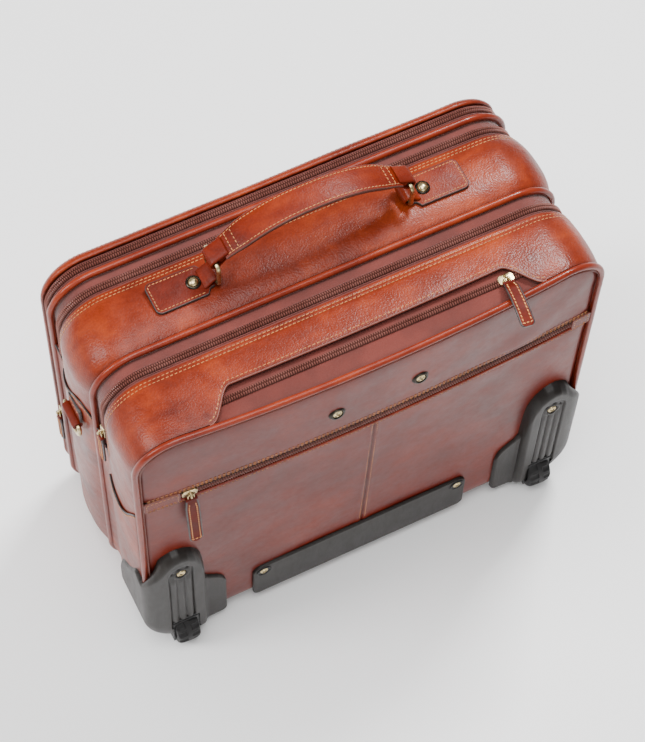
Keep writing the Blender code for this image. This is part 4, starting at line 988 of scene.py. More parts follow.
# ---------------------------------------------------------------- lower gussets and the front
def lower_gussets():
    rows = (("lower_gusset_rear", REAR_END + 0.0002, TAPE_1_FRONT, SIDE_ZIP_END,
             ("rear_section", "middle_section")),
            ("lower_gusset_middle", MIDDLE_END + 0.0002, TAPE_2_FRONT, SIDE_ZIP_END,
             ("middle_section", "organiser_section")),
            ("lower_gusset_front", TAPE_3_REAR, TAPE_3_FRONT, FRONT_ZIP_END, ("organiser_section", "front_pocket")))
    for node, start, end, high, bodies in rows:
        piece = Piece()
        o = Outline("cradle", high - 0.0004, 0.0035)
        depth = np.linspace(start, end, 15)
        share = np.linspace(0, 1, 15)
        offset = -0.0006 - 0.0016 * np.sin(np.pi * share)[None] + 0 * o.x[:, None]
        probe = o.points(depth, offset)
        offset = offset + lumps(probe, 0.035, start * 90) * 0.0006 * np.sin(np.pi * share)[None]
        # painted shade near both ends, where the gusset meets the bands
        painted_end_shade = 0.6 * np.exp(-(share / 0.08) ** 2) + 0.6 * np.exp(-((1 - share) / 0.08) ** 2)
        shade = np.broadcast_to(painted_end_shade, offset.shape)
        points = o.points(depth, offset, np.minimum(offset, -0.0004))
        ends = [points[0] * 1.0, points[-1] * 1.0]
        for rim in ends:
            rim[:, 0] *= (HALF - 0.0040) / HALF
        points = np.concatenate([ends[0][None], points, ends[1][None]])
        # painted shade on the tucked rim rows
        shade = np.concatenate([np.ones((1, 15)), shade, np.ones((1, 15))])
        piece.grid(points, BODY, centre=INSIDE, shade=shade)
        for z_end in (0, -1):
            rim = at(np.full(15, (HALF - 0.0004) * (1 if z_end else -1)), depth, np.full(15, high - 0.0004))
            tube(piece, rim, 0.0008, EDGE, 6)
        piece.done(node + "_leather", None, "leather", (node,), blend=(
            *bodies, (0, REAR_Y - start - 0.001, 0.1), (0, REAR_Y - end + 0.001, 0.1)))


def front_leather():
    """The front pocket's panel: its rim turns back to the front zip and its face is stitched."""
    piece = Piece()
    o = Outline("ring", BOTTOM_RADIUS, 0.004)
    rows = [(FRONT_START + 0.0002, -0.0030), (FRONT_START, -0.0008), (0.1906, 0.0002), (0.1925, 0.0006),
            (0.1945, -0.0002),
            (0.1965, -0.0016), (0.1985, -0.0040), (0.2000, -0.0075), (0.2012, -0.0120), (0.2022, -0.0190),
            (0.2030, -0.0270), (0.2035, -0.0350)]
    half_in = 0.0350
    for share in np.linspace(0.05, 1.0, 26):
        rows.append((0.2035 + 0.0012 * share, -half_in - share * 0.1450))
    columns = []
    for depth, offset in rows:
        inset = max(-offset - 0.0350, 0.0)
        base = o.points(0.195, max(offset, -0.0350))[:, 0]
        if inset > 0:
            centre = np.array([0.0, base[:, 1].mean(), FLOOR_GAP + 0.176])
            base = centre + (base - centre) * (1 - inset / 0.1460)
        base[:, 1] = REAR_Y - depth
        columns.append(base)
    points = np.stack(columns, 1)
    points[..., 1] += lumps(points, 0.08, 41) * 0.0008 * smooth(np.arange(points.shape[1]) / 8.0)[None]
    shade = np.zeros(points.shape[:2])
    # painted shade on the two rows where the rim turns back to the front zip
    shade[:, :2] = 0.7
    piece.grid(points, BODY, cyclic=(True, False), centre=INSIDE, shade=shade)
    piece.add(points[:, -1], [list(range(len(o.x)))], BODY, centre=INSIDE)
    for column in (7, 8):
        path = points[:, column].copy()
        stitches(piece, smoothed(np.vstack([path, path[:1]]), 1), (0, -1, 0), THREAD, pitch=0.0042)
    # a slip pocket's upper edge across the front
    x = np.linspace(-0.176, 0.176, 90)
    z = 0.232 - 0.010 * (x / 0.176) ** 2
    edge = at(x, 0.2046 + 0.0006, z)
    tube(piece, edge, 0.0012, FOLD, 8)
    stitches(piece, edge + np.array([0, -0.0002, -0.0035]), (0, -1, 0), THREAD, pitch=0.0042)
    return piece.done("front_pocket_leather", "front_pocket", "leather", ("front_panel",))


# ---------------------------------------------------------------- rear panels
PANEL_HALF = HALF - 0.0034


def panel_sheet(piece, upper, seed):
    """One of the two rear panels as a bowed sheet whose rim rolls in towards the piping or the zip."""
    a = np.linspace(-1, 1, 151)
    x = PANEL_HALF * np.sin(a * math.pi / 2 * 0.985) / math.sin(math.pi / 2 * 0.985)
    if not upper:
        x = np.unique(np.concatenate([x[np.abs(x) > 0.008], np.linspace(-0.008, 0.008, 33)]))
    inset = 0.0034
    if upper:
        centre, radius = LEATHER_HEIGHT - TOP_RADIUS, TOP_RADIUS - inset
        beyond = np.clip(np.abs(x) - (HALF - TOP_RADIUS), 0, radius)
        high = centre + np.sqrt(radius ** 2 - beyond ** 2)
        low = np.full(len(x), POCKET_ZIP_HEIGHT + SLIT)
        count = 40
    else:
        centre, radius = BOTTOM_RADIUS, BOTTOM_RADIUS - inset
        beyond = np.clip(np.abs(x) - (HALF - BOTTOM_RADIUS), 0, radius)
        low = centre - np.sqrt(radius ** 2 - beyond ** 2)
        high = np.full(len(x), POCKET_ZIP_HEIGHT - SLIT)
        count = 90
    t = (1 - np.cos(np.pi * np.linspace(0, 1, count))) / 2 * 0.6 + np.linspace(0, 1, count) * 0.4
    z = low[:, None] + (high - low)[:, None] * t[None]
    xx = np.broadcast_to(x[:, None], z.shape)
    # distance to the outer rim
    corner_z = (LEATHER_HEIGHT - TOP_RADIUS) if upper else BOTTOM_RADIUS
    out_x = np.abs(xx) - (HALF - (TOP_RADIUS if upper else BOTTOM_RADIUS))
    out_z = (z - corner_z) if upper else (corner_z - z)
    full = TOP_RADIUS if upper else BOTTOM_RADIUS
    round_rim = full - np.hypot(np.clip(out_x, 0, None), np.clip(out_z, 0, None))
    rim = np.where((out_x > 0) & (out_z > 0), round_rim, np.minimum(full - out_x, full - out_z))
    rim = rim - inset
    slit_edge = (z - low[:, None]) if upper else (high[:, None] - z)
    relief = -0.0016 * np.exp(-(rim / 0.0028) ** 2) - 0.0014 * np.exp(-(rim / 0.0085) ** 2)
    where = at(xx, 0.0 * xx, z)
    relief = relief + lumps(where, 0.085, seed) * 0.0010 * smooth(rim / 0.03) * smooth(slit_edge / 0.03)
    relief = relief + lumps(where, 0.030, seed + 1) * 0.00022 * smooth(rim / 0.012)
    # soft diagonal folds towards the far upper corner
    lean = (xx * 0.72 + (z - 0.25) * 0.70)
    reach = bump(xx, -0.150, 0.060) * bump(z, 0.262 if not upper else 0.320, 0.050)
    relief = relief + 0.00085 * reach * np.sin(lean / 0.0135 + 2.0 * lumps(where, 0.06, seed + 3))
    # painted shade along the outer rim, where the panel rolls in
    shade = 0.55 * np.exp(-(rim / 0.0022) ** 2)
    if upper:
        relief = relief - 0.0010 * np.exp(-(slit_edge / 0.0012) ** 2) + 0.0004 * bump(slit_edge, 0.0022, 0.0016)
        rows = (0.0018, 0.0048)
    else:
        relief = relief + 0.0006 * bump(slit_edge, 0.0018, 0.0018) - 0.0008 * np.exp(-(slit_edge / 0.0009) ** 2)
        relief = relief - 0.0009 * bump(xx, 0.0, 0.0009) * smooth((0.276 - z) / 0.004)
        relief = relief + 0.0006 * (bump(xx, -0.0034, 0.0026) + bump(xx, 0.0034, 0.0026))
        # painted shade down the centre seam
        shade = shade + 0.5 * bump(xx, 0.0, 0.0012)
        rows = (0.0056,)
    for row in rows:
        relief = relief - 0.00030 * bump(slit_edge, row, 0.0009)
        # painted shade along each stitch row
        shade = shade + 0.2 * bump(slit_edge, row, 0.0010)
    depth = -bow(xx, z) - relief
    points = at(xx, depth, z)
    fold = points[:, 0 if upper else -1].copy()
    fold2 = fold.copy()
    fold[:, 1] -= 0.0011
    fold2[:, 1] -= 0.0030
    fold2[:, 2] += 0.0012 * (1 if upper else -1)
    order = [fold2[:, None], fold[:, None], points] if upper else [points, fold[:, None], fold2[:, None]]
    points = np.concatenate(order, 1)
    # painted shade on the two folded rows at the slit
    dark = np.full((len(x), 2), 0.5)
    shade = np.concatenate([dark, shade] if upper else [shade, dark], 1)
    piece.grid(points, REAR, centre=(0, -0.5, 0.2), shade=shade, keep=outside_well if not upper else None)

    def row_path(row):
        rx = np.linspace(PANEL_HALF - 0.004, -(PANEL_HALF - 0.004), 300)
        rz = np.full(300, (POCKET_ZIP_HEIGHT + SLIT + row) if upper else (POCKET_ZIP_HEIGHT - SLIT - row))
        probe = at(rx, 0.0, rz)
        h = lumps(probe, 0.085, seed) * 0.0010 * smooth(row / 0.03) - 0.0001
        return at(rx, -bow(rx, rz) - h, rz)

    for row in rows:
        stitches(piece, row_path(row), (0, 1, 0), THREAD, pitch=0.0039, length=0.0028, radius=0.00038, lift=0.0002)
    return piece


def rear_panels():
    panel_sheet(Piece(), True, 51).done("rear_upper_leather", "rear_section", "leather", ("rear_panel_upper",))
    piece = panel_sheet(Piece(), False, 54)
    # bright folded lip under the zip
    x = np.linspace(PANEL_HALF - 0.003, -(PANEL_HALF - 0.003), 160)
    z = np.full(160, POCKET_ZIP_HEIGHT - SLIT - 0.0006)
    tube(piece, at(x, -bow(x, z) - 0.0004, z), 0.0013, CORD, 8)
    # centre seam's stitches
    z = np.linspace(0.270, 0.064, 120)
    for x_row in (-0.0026, 0.0026):
        stitches(piece, at(x_row, -bow(x_row, z) - 0.0005, z), (0, 1, 0), THREAD, pitch=0.0039, length=0.0028,
                 radius=0.00036)
    piece.done("rear_pocket_leather", "rear_section", "leather", ("rear_pocket_panel",))
    # patches that cover the ends of the pocket's zip
    for side, word, start, end in ((1, "left", 0.1785, 0.2105), (-1, "right", 0.1925, 0.2105)):
        piece = Piece()
        outline_points = rounded(side * (start + end) / 2, POCKET_ZIP_HEIGHT, (end - start) / 2, 0.0078, 0.0016, 3)
        slab(piece, outline_points, 0.0014,
             lambda r: at(r[:, 0], -bow(r[:, 0], POCKET_ZIP_HEIGHT) - r[:, 2] - 0.0001, r[:, 1]), REAR, FOLD,
             0.0005)
        ring_path = rounded(side * (start + end) / 2, POCKET_ZIP_HEIGHT, (end - start) / 2 - 0.0022, 0.0056, 0.001,
                            2)
        path = at(ring_path[:, 0], -bow(ring_path[:, 0], POCKET_ZIP_HEIGHT) - 0.0014, ring_path[:, 1])
        stitches(piece, np.vstack([path, path[:1]]), (0, 1, 0), THREAD, pitch=0.0036, length=0.0026, radius=0.00034)
        piece.done(f"zip_end_patch_{word}", "rear_section", "leather")


# ---------------------------------------------------------------- wheel housings and kick plate
POD_EDGE = 0.1605               # the pod's inner edge
POD_TURN = 0.2025               # where its face starts to turn round to the case's side
GUARD_X = 0.2204
GUARD_RADIUS = 0.0504           # round the case's bottom corner, whose centre is at x 0.170
POD_RISE = 0.0124
TURN_IN = GUARD_X - POD_TURN
ROOM_HALF = 0.0131              # half the width of the wheel's room
ROOM_TOP = 0.0400
WHEEL_ROOM = 0.0272
# The shell's upper edge: position across the face, round the turn and along the side, then height
RIM = np.array([(0.1605, 0.120), (0.1606, 0.137), (0.1625, 0.1500), (0.1662, 0.1610), (0.1710, 0.1690),
                (0.1780, 0.1750),
                (0.1850, 0.1775), (0.1920, 0.1768), (0.1985, 0.1725), (0.2060, 0.1640), (0.2120, 0.1560),
                (0.2180, 0.1470), (0.2230, 0.1375), (0.2262, 0.1315), (0.2290, 0.1300), (0.2318, 0.1318),
                (0.2340, 0.1365), (0.2362, 0.1392), (0.2400, 0.1370), (0.2470, 0.1245), (0.2560, 0.1120),
                (0.2650, 0.1030), (0.2720, 0.0920), (0.2768, 0.0780), (0.2785, 0.0640)])


def rim_height(w):
    fine = np.linspace(RIM[0, 0], RIM[-1, 0], 1200)
    curve = np.interp(fine, RIM[:, 0], RIM[:, 1])
    soft = curve.copy()
    for _ in range(160):
        soft[1:-1] = (soft[:-2] + 2 * soft[1:-1] + soft[2:]) / 4
    soft = np.where(fine < 0.1625, curve, soft)
    slope = np.gradient(soft, fine)
    return np.interp(w, fine, soft), 1 / np.sqrt(1 + np.interp(w, fine, slope) ** 2)


def rim_drop(w, z, high, cosine):
    """How far the shell has turned down towards the leather near its upper edge."""
    share = smooth((w - POD_TURN) / 0.030)
    amount = 0.0120 + (0.0042 - 0.0120) * share
    radius = 0.0080 + (0.0042 - 0.0080) * share
    b = np.clip((high - z) * cosine / radius, 0, 1)
    return amount * (1 - np.sqrt(np.clip(1 - (1 - b) ** 2, 0, 1)))


def pod_face(x, z, high, cosine):
    """How far the pod's face stands off the rear panel's plane."""
    a = np.clip((x - POD_EDGE) / 0.0058, 0, 1)
    h = POD_RISE - rim_drop(x, z, high, cosine) - (POD_RISE - 0.0005) * (1 - np.sqrt(1 - (1 - a) ** 2))
    u = np.abs(x - 0.1862) / 0.0126
    v = np.clip(z - 0.1440, 0, None) / 0.0165
    inside = (1 - (u ** 2.4 + v ** 2.4) ** (1 / 2.4)) * 0.0126
    panel = smooth(inside / 0.0016)
    flutes = np.abs(np.cos(np.pi * (x - 0.1862) / 0.0074)) ** 0.75
    h = h - panel * (0.0022 - 0.0020 * flutes * smooth((0.146 - z) / 0.020))
    r = np.hypot(x - 0.1854, z - 0.1425)
    h = h + 0.0008 * bump(r, 0.0068, 0.0011) - 0.0018 * (1 - smooth((r - 0.0044) / 0.0010))
    angle = np.arctan2(z - 0.1425, x - 0.1854)
    marks = 0.0
    for turn in (0.45, 1.35, 2.25):
        marks = marks + np.exp(-((r - 0.0098) / 0.0010) ** 2 - ((angle - turn) / 0.20) ** 2)
    h = h - 0.0016 * marks
    # the second value is painted shade, dark in the screw's recess and in the three crescent marks
    return np.maximum(h, 0.0004), np.clip(0.9 * (1 - smooth((r - 0.0040) / 0.0010)) + 1.2 * marks, 0, 1)


def housing(side, word):
    piece = Piece()
    # the face of the pod
    x = np.concatenate([np.linspace(POD_EDGE, 0.1709, 24, endpoint=False), np.linspace(0.1709, 0.1971, 50),
                        np.linspace(0.1971, POD_TURN, 9)[1:]])
    high, cosine = rim_height(x)
    inset = GUARD_RADIUS - TURN_IN
    low = 0.045 - np.sqrt(np.clip(inset ** 2 - np.clip(x - 0.170, 0, None) ** 2, 0, None))
    t = np.linspace(0, 1, 13, endpoint=False)
    z = np.concatenate([low[:, None] + (ROOM_TOP - low)[:, None] * t[None],
                        ROOM_TOP + (high - ROOM_TOP)[:, None] * (np.linspace(0, 1, 130)[None] ** 0.85)], 1)
    xx = np.broadcast_to(x[:, None], z.shape)
    h, shade = pod_face(xx, z, high[:, None], cosine[:, None])

    def keep_face(centres):
        return ~((np.abs(np.abs(centres[:, 0]) - WHEEL_X) < ROOM_HALF) & (centres[:, 2] - FLOOR_GAP < ROOM_TOP))

    piece.grid(at(side * xx, -h, z), PLASTIC, centre=(0, -0.5, 0.2), shade=shade, keep=keep_face)
    # the turn to the side, the side wall and the guard under the corner, in one sweep
    phi = np.linspace(0, math.pi / 2, 22)
    turn_w = POD_TURN + 0.0255 * phi / (math.pi / 2)
    inward = np.concatenate([TURN_IN * (1 - np.sin(phi)), np.zeros(34)])
    depth = np.concatenate([0.002 - (POD_RISE + 0.002) * np.cos(phi), np.linspace(0.002, 0.0530, 35)[1:]])
    w = np.concatenate([turn_w, 0.2280 + depth[22:] - 0.002])
    high, cosine = rim_height(w)
    lean_n = np.concatenate([np.sin(phi), np.ones(34)])
    lean_d = np.concatenate([np.cos(phi), np.zeros(34)])
    rows, normals = [], []
    for share in np.linspace(0, 1, 60, endpoint=False) ** 1.15:
        rows.append((np.full(len(w), GUARD_X), high + (0.045 - high) * share))
        normals.append((1.0, 0.0))
    for a in np.linspace(0, math.pi / 2, 26):
        rows.append((np.full(len(w), 0.170 + GUARD_RADIUS * math.cos(a)),
                     np.full(len(w), 0.045 - GUARD_RADIUS * math.sin(a))))
        normals.append((math.cos(a), -math.sin(a)))
    for flat_x in (0.1680, 0.1663, 0.1648, 0.1635, 0.1624, 0.1614, 0.1608, POD_EDGE):
        rows.append((np.full(len(w), flat_x), np.full(len(w), 0.045 - GUARD_RADIUS)))
        normals.append((0.0, -1.0))
    gx = np.stack([r[0] for r in rows])
    gz = np.stack([r[1] for r in rows])
    nx = np.array([n[0] for n in normals])[:, None]
    nz = np.array([n[1] for n in normals])[:, None]
    drop = rim_drop(w[None], gz, high[None], cosine[None]) * (nx > 0.999)
    end_drop = 0.0036 * (1 - np.sqrt(1 - (1 - np.clip((0.0530 - depth) / 0.004, 0, 1)) ** 2))[None]
    off = inward[None] + drop * lean_n[None] + end_drop
    dd = depth[None] + drop * lean_d[None]
    a = np.clip((gx - POD_EDGE) / 0.0058, 0, 1)
    roll = (1 - np.sqrt(1 - (1 - a) ** 2)) * (nz < -0.999)
    dd = np.where(dd < 0, dd * (1 - 0.97 * roll), dd)
    points = at(side * (gx - nx * off), dd, gz - nz * off)

    def keep_guard(centres):
        cx, cz, cd = np.abs(centres[:, 0]), centres[:, 2] - FLOOR_GAP, REAR_Y - centres[:, 1]
        return ~((np.abs(cx - WHEEL_X) < ROOM_HALF) & (cz < 0.0395) & (cd < 0.030))

    piece.grid(points, PLASTIC, centre=(side * 0.12, REAR_Y - 0.03, 0.12), keep=keep_guard)
    # the flat flange beside the pod
    fx = np.linspace(0.1385, 0.1720, 40)
    top = np.interp(fx, [0.1385, 0.1400, 0.1425, 0.1470, 0.1520, 0.1570, 0.1610, 0.1720],
                    [0.0600, 0.0690, 0.0755, 0.0815, 0.0858, 0.0900, 0.0985, 0.1250])
    base = np.interp(fx, [0.1385, 0.1400, 0.1430, 0.1720], [0.0040, 0.0005, -0.0030, -0.0050])
    t = (1 - np.cos(np.pi * np.linspace(0, 1, 60))) / 2
    fz = base[:, None] + (top - base)[:, None] * t[None]
    d_rim = np.minimum(np.minimum((top[:, None] - fz) * 0.8, fz - base[:, None]), (fx - 0.1385)[:, None] * 0.9)
    d_rim = np.clip(d_rim / 0.0022, 0, 1)
    foot = 0.0016 * np.exp(-((POD_EDGE + 0.0010 - fx) / 0.0022) ** 2)[:, None]
    flange = at(side * (fx[:, None] + 0 * fz),
                -0.0002 - 0.0036 * np.sqrt(1 - (1 - d_rim) ** 2) - foot * (d_rim > 0.9), fz)
    piece.grid(flange, PLASTIC, centre=(0, -0.5, 0.2))
    # the wheel's room: an arch-shaped liner
    a = np.linspace(-0.15, np.pi + 0.15, 40)
    arch = np.stack([WHEEL_DEPTH - WHEEL_ROOM * np.cos(a), WHEEL_RADIUS - FLOOR_GAP + WHEEL_ROOM * np.sin(a)], -1)
    arch = np.vstack([[arch[0][0], -0.004], arch, [arch[-1][0], -0.004]])
    arch[:, 0] = np.clip(arch[:, 0], -0.0110, None)
    liner = np.stack([at(side * (WHEEL_X + s * ROOM_HALF), arch[:, 0], arch[:, 1]) for s in (-1, 1)], 1)
    piece.grid(liner, BLACK, centre=(side * WHEEL_X, 0, 0))
    for s in (-1, 1):
        disc = at(side * (WHEEL_X + s * ROOM_HALF), arch[:, 0], arch[:, 1])
        piece.add(disc, [list(range(len(disc)))], BLACK, centre=(side * WHEEL_X, 0, 0))
    lip = at(side * np.linspace(WHEEL_X - ROOM_HALF, WHEEL_X + ROOM_HALF, 16), -0.0114, ROOM_TOP + 0.0003)
    tube(piece, lip, 0.0009, BLACK, 8)
    turned(piece, [(0.0, 0.0128), (0.0036, 0.0128), (0.0036, -0.0128), (0.0, -0.0128)],
           at(side * WHEEL_X, WHEEL_DEPTH, WHEEL_RADIUS - FLOOR_GAP), (1, 0, 0), BRASS_DARK, 16)
    piece.done(f"wheel_housing_{word}_shell", "rear_section", "dark_plastic", (f"wheel_housing_{word}",), 45)
    screw(f"housing_screw_{word}_head", at(side * 0.1854, -0.0106, 0.1425), (0, 1, 0), 0.0044, "rear_section",
          (f"housing_screw_{word}",), turn=0.5 * side)


def screw(name, seat, out, radius, body, replaces=(), ring_radius=0.0, turn=0.3, rise=0.0):
    """A domed cross-head screw, with a black captive washer where ring_radius is given."""
    piece = Piece()
    out = unit(np.array(out, float))
    if ring_radius:
        inner = radius * 1.02
        profile = [(inner, -0.0004), (inner, rise * 0.72), (inner + 0.0006, rise), (inner + 0.0018, rise * 0.93),
                   (ring_radius * 0.86, rise * 0.66), (ring_radius * 0.96, rise * 0.35), (ring_radius, 0.0002),
                   (ring_radius * 0.99, -0.0004)]
        turned(piece, profile, seat, out, BRASS_DARK, 36)
    head = [(0.0001, 0.0013), (radius * 0.30, 0.00125), (radius * 0.62, 0.00095), (radius * 0.86, 0.00045),
            (radius * 0.985, -0.0002), (radius, -0.0010)]
    lift = rise * 0.72 - 0.0004 if ring_radius else 0.0
    head = [(r, h + lift) for r, h in head]
    steps = 48
    side = unit(np.cross(out, [0, 0, 1.0]) if abs(out[2]) < 0.9 else np.cross(out, [1.0, 0, 0]))
    other = np.cross(out, side)
    radii = np.linspace(0.00005, radius, 22)
    a = np.linspace(0, 2 * np.pi, steps, endpoint=False)
    hh = np.interp(radii, [r for r, h in head], [h for r, h in head])
    u = radii[:, None] * np.cos(a)[None]
    v = radii[:, None] * np.sin(a)[None]
    ur, vr = u * math.cos(turn) + v * math.sin(turn), -u * math.sin(turn) + v * math.cos(turn)
    slot_w = radius * 0.17
    inside = (np.minimum(np.abs(ur), np.abs(vr)) < slot_w) & (np.maximum(np.abs(ur), np.abs(vr)) < radius * 0.62)
    height = hh[:, None] - 0.0008 * inside
    points = np.asarray(seat) + side * u[..., None] + other * v[..., None] + out * height[..., None]
    # painted shade in the cross slot and at its centre
    piece.grid(points, BRASS, cyclic=(False, True), centre=np.asarray(seat) - out * 0.01, shade=inside * 0.8)
    piece.add(points[0], [list(range(steps))], BRASS, centre=np.asarray(seat) - out * 0.01,
              shade=0.8 * np.ones(steps))
    return piece.done(name, body, "antique_brass", replaces, 35)


def kick_plate():
    piece = Piece()
    outline_points = rounded(0.0020, KICK_HEIGHT / 2 + 0.0005, 0.110, KICK_HEIGHT / 2 - 0.0005,
                             (0.010, 0.010, 0.006, 0.006), 8)
    slab(piece, outline_points, 0.0030, lambda r: at(r[:, 0], -0.0006 - r[:, 2], r[:, 1]), PLASTIC, None, 0.0011,
         dome=0.0004)
    for side in (1, -1):
        turned(piece, [(0.0074, 0.0), (0.0072, 0.0005), (0.0066, 0.0006), (0.0060, 0.0002), (0.0058, -0.0006),
                       (0.0001, -0.0006)], at(side * 0.1000 + 0.0015, -0.0040, 0.0480), (0, 1, 0), BLACK, 28)
    piece.done("kick_plate_moulding", "rear_section", "dark_plastic", ("kick_plate",), 40)
    for side, word in SIDES:
        screw(f"kick_screw_{word}", at(side * 0.1000 + 0.0015, -0.0041, 0.0488), (0, 1, 0), 0.0041, "rear_section",
              turn=0.9)


def trolley_screws():
    for side, word in SIDES:
        x, z = side * 0.0385, 0.328
        seat = at(x, -bow(x, z) - 0.0002, z)
        screw(f"trolley_screw_{word}_head", seat, (0.0, 1, 0.12), 0.0045, "rear_section",
              (f"trolley_screw_{word}",), ring_radius=0.0078, turn=0.4, rise=0.0024)


def wheel(side, word):
    """A moulded wheel: grooved tread, dished sides with spokes, and its hub cap."""
    piece = Piece()
    centre = at(side * WHEEL_X, WHEEL_DEPTH, WHEEL_RADIUS - FLOOR_GAP)
    profile = [(0.0050, 0.0098), (0.0075, 0.0100), (0.0085, 0.0082), (0.0150, 0.0078), (0.0168, 0.0100),
               (0.0176, 0.0113),
               (0.0205, 0.0112), (0.0228, 0.0106), (0.0241, 0.0092), (0.0247, 0.0070), (0.0249, 0.0046),
               (0.0249, 0.0030), (0.0250, 0.0022), (0.0250, 0.0008)]
    profile = profile + [(r, -h) for r, h in reversed(profile)]
    steps = 96
    a = np.linspace(0, 2 * np.pi, steps, endpoint=False)
    rows = []
    for r, h in profile:
        radius = np.full(steps, r)
        along = np.full(steps, h)
        if 0.0080 < r < 0.0160:
            along = along - np.sign(h) * 0.0016 * (0.5 + 0.5 * np.sign(np.cos(a * 5) - 0.15))
        if r > 0.0230 and abs(h) > 0.0028:
            radius = radius - 0.0013 * (np.cos(a * 16 + (0.0 if h > 0 else math.pi)) > 0.45)
        rows.append(np.stack([along, radius * np.cos(a), radius * np.sin(a)], -1) + centre)
    rows = np.stack(rows)
    shade = np.zeros(rows.shape[:2])
    piece.grid(rows, RUBBER, cyclic=(True, True), shade=shade)
    for s in (1, -1):
        turned(piece, [(0.0001, 0.0121), (0.0030, 0.0118), (0.0050, 0.0106), (0.0054, 0.0094), (0.0001, 0.0090)],
               centre, (s, 0, 0), BLACK, 24)
    piece.done(f"wheel_{word}_tyre", f"wheel_{word}", "wheel_rubber", (f"wheel_{word}",), 38)


# ---------------------------------------------------------------- straps, rings and the handle
def strap(piece, line, up, widths, above, below, face, edge, shoulder=0.0007):
    """A leather strap along a line: rounded shoulders, domed faces and dyed edges."""
    line = np.asarray(line, float)
    _, side, normal = frames(line, up=up)
    n = len(line)
    widths, above, below = [np.broadcast_to(np.asarray(v, float), (n,))[:, None] for v in (widths, above, below)]
    half = widths / 2
    u = np.array([-1.0, -0.80, -0.5, -0.2, 0.2, 0.5, 0.80, 1.0])
    dome = 1 - np.abs(u[None]) ** 3.0
    r = shoulder
    top_u, top_v = u[None] * (half - r), above * (0.72 + 0.28 * dome)
    low_u, low_v = u[None, ::-1] * (half - r), -below * (0.72 + 0.28 * dome)
    edge_u = np.array([0.45, 0.85, 1.0, 1.0, 0.85, 0.45])[None] * r
    edge_v = np.stack([above * 0.66, above * 0.50, above * 0.25, -below * 0.25, -below * 0.50, -below * 0.66],
                      -1)[:, 0]
    right_u, left_u = half - r + edge_u, -(half - r + edge_u)

    def skin(us, vs):
        return line[:, None] + side[:, None] * us[..., None] + normal[:, None] * vs[..., None]

    top, low = skin(top_u, top_v), skin(low_u, low_v)
    right = skin(np.concatenate([top_u[:, -1:], right_u, low_u[:, :1]], 1),
                 np.concatenate([top_v[:, -1:], edge_v, low_v[:, :1]], 1))
    left = skin(np.concatenate([low_u[:, -1:], left_u[:, ::-1], top_u[:, :1]], 1),
                np.concatenate([low_v[:, -1:], edge_v[:, ::-1], top_v[:, :1]], 1))
    for grid_points, material in ((top, face), (low, face), (right, edge), (left, edge)):
        # all four go round the same way, so they face the same way as the top
        piece.grid(grid_points, material, flip=True)
    for i, reverse in ((0, False), (-1, True)):
        ringed = np.vstack([top[i], right[i][1:-1], low[i], left[i][1:-1]])
        face_rows = list(range(len(ringed)))
        piece.add(ringed, [face_rows[::-1] if reverse else face_rows], edge, flip=True)
    return side, normal


def handle_height(x):
    share = np.clip(np.abs(x) / RING_X, 0, 1)
    foot = RING_FOOT + RING_SIZE - RING_BAR
    return foot + (HANDLE_RISE - foot) * (1 - share ** 2.3)


HANDLE_STITCH = dict(pitch=0.0036, length=0.0027, radius=0.00038, lift=0.0)


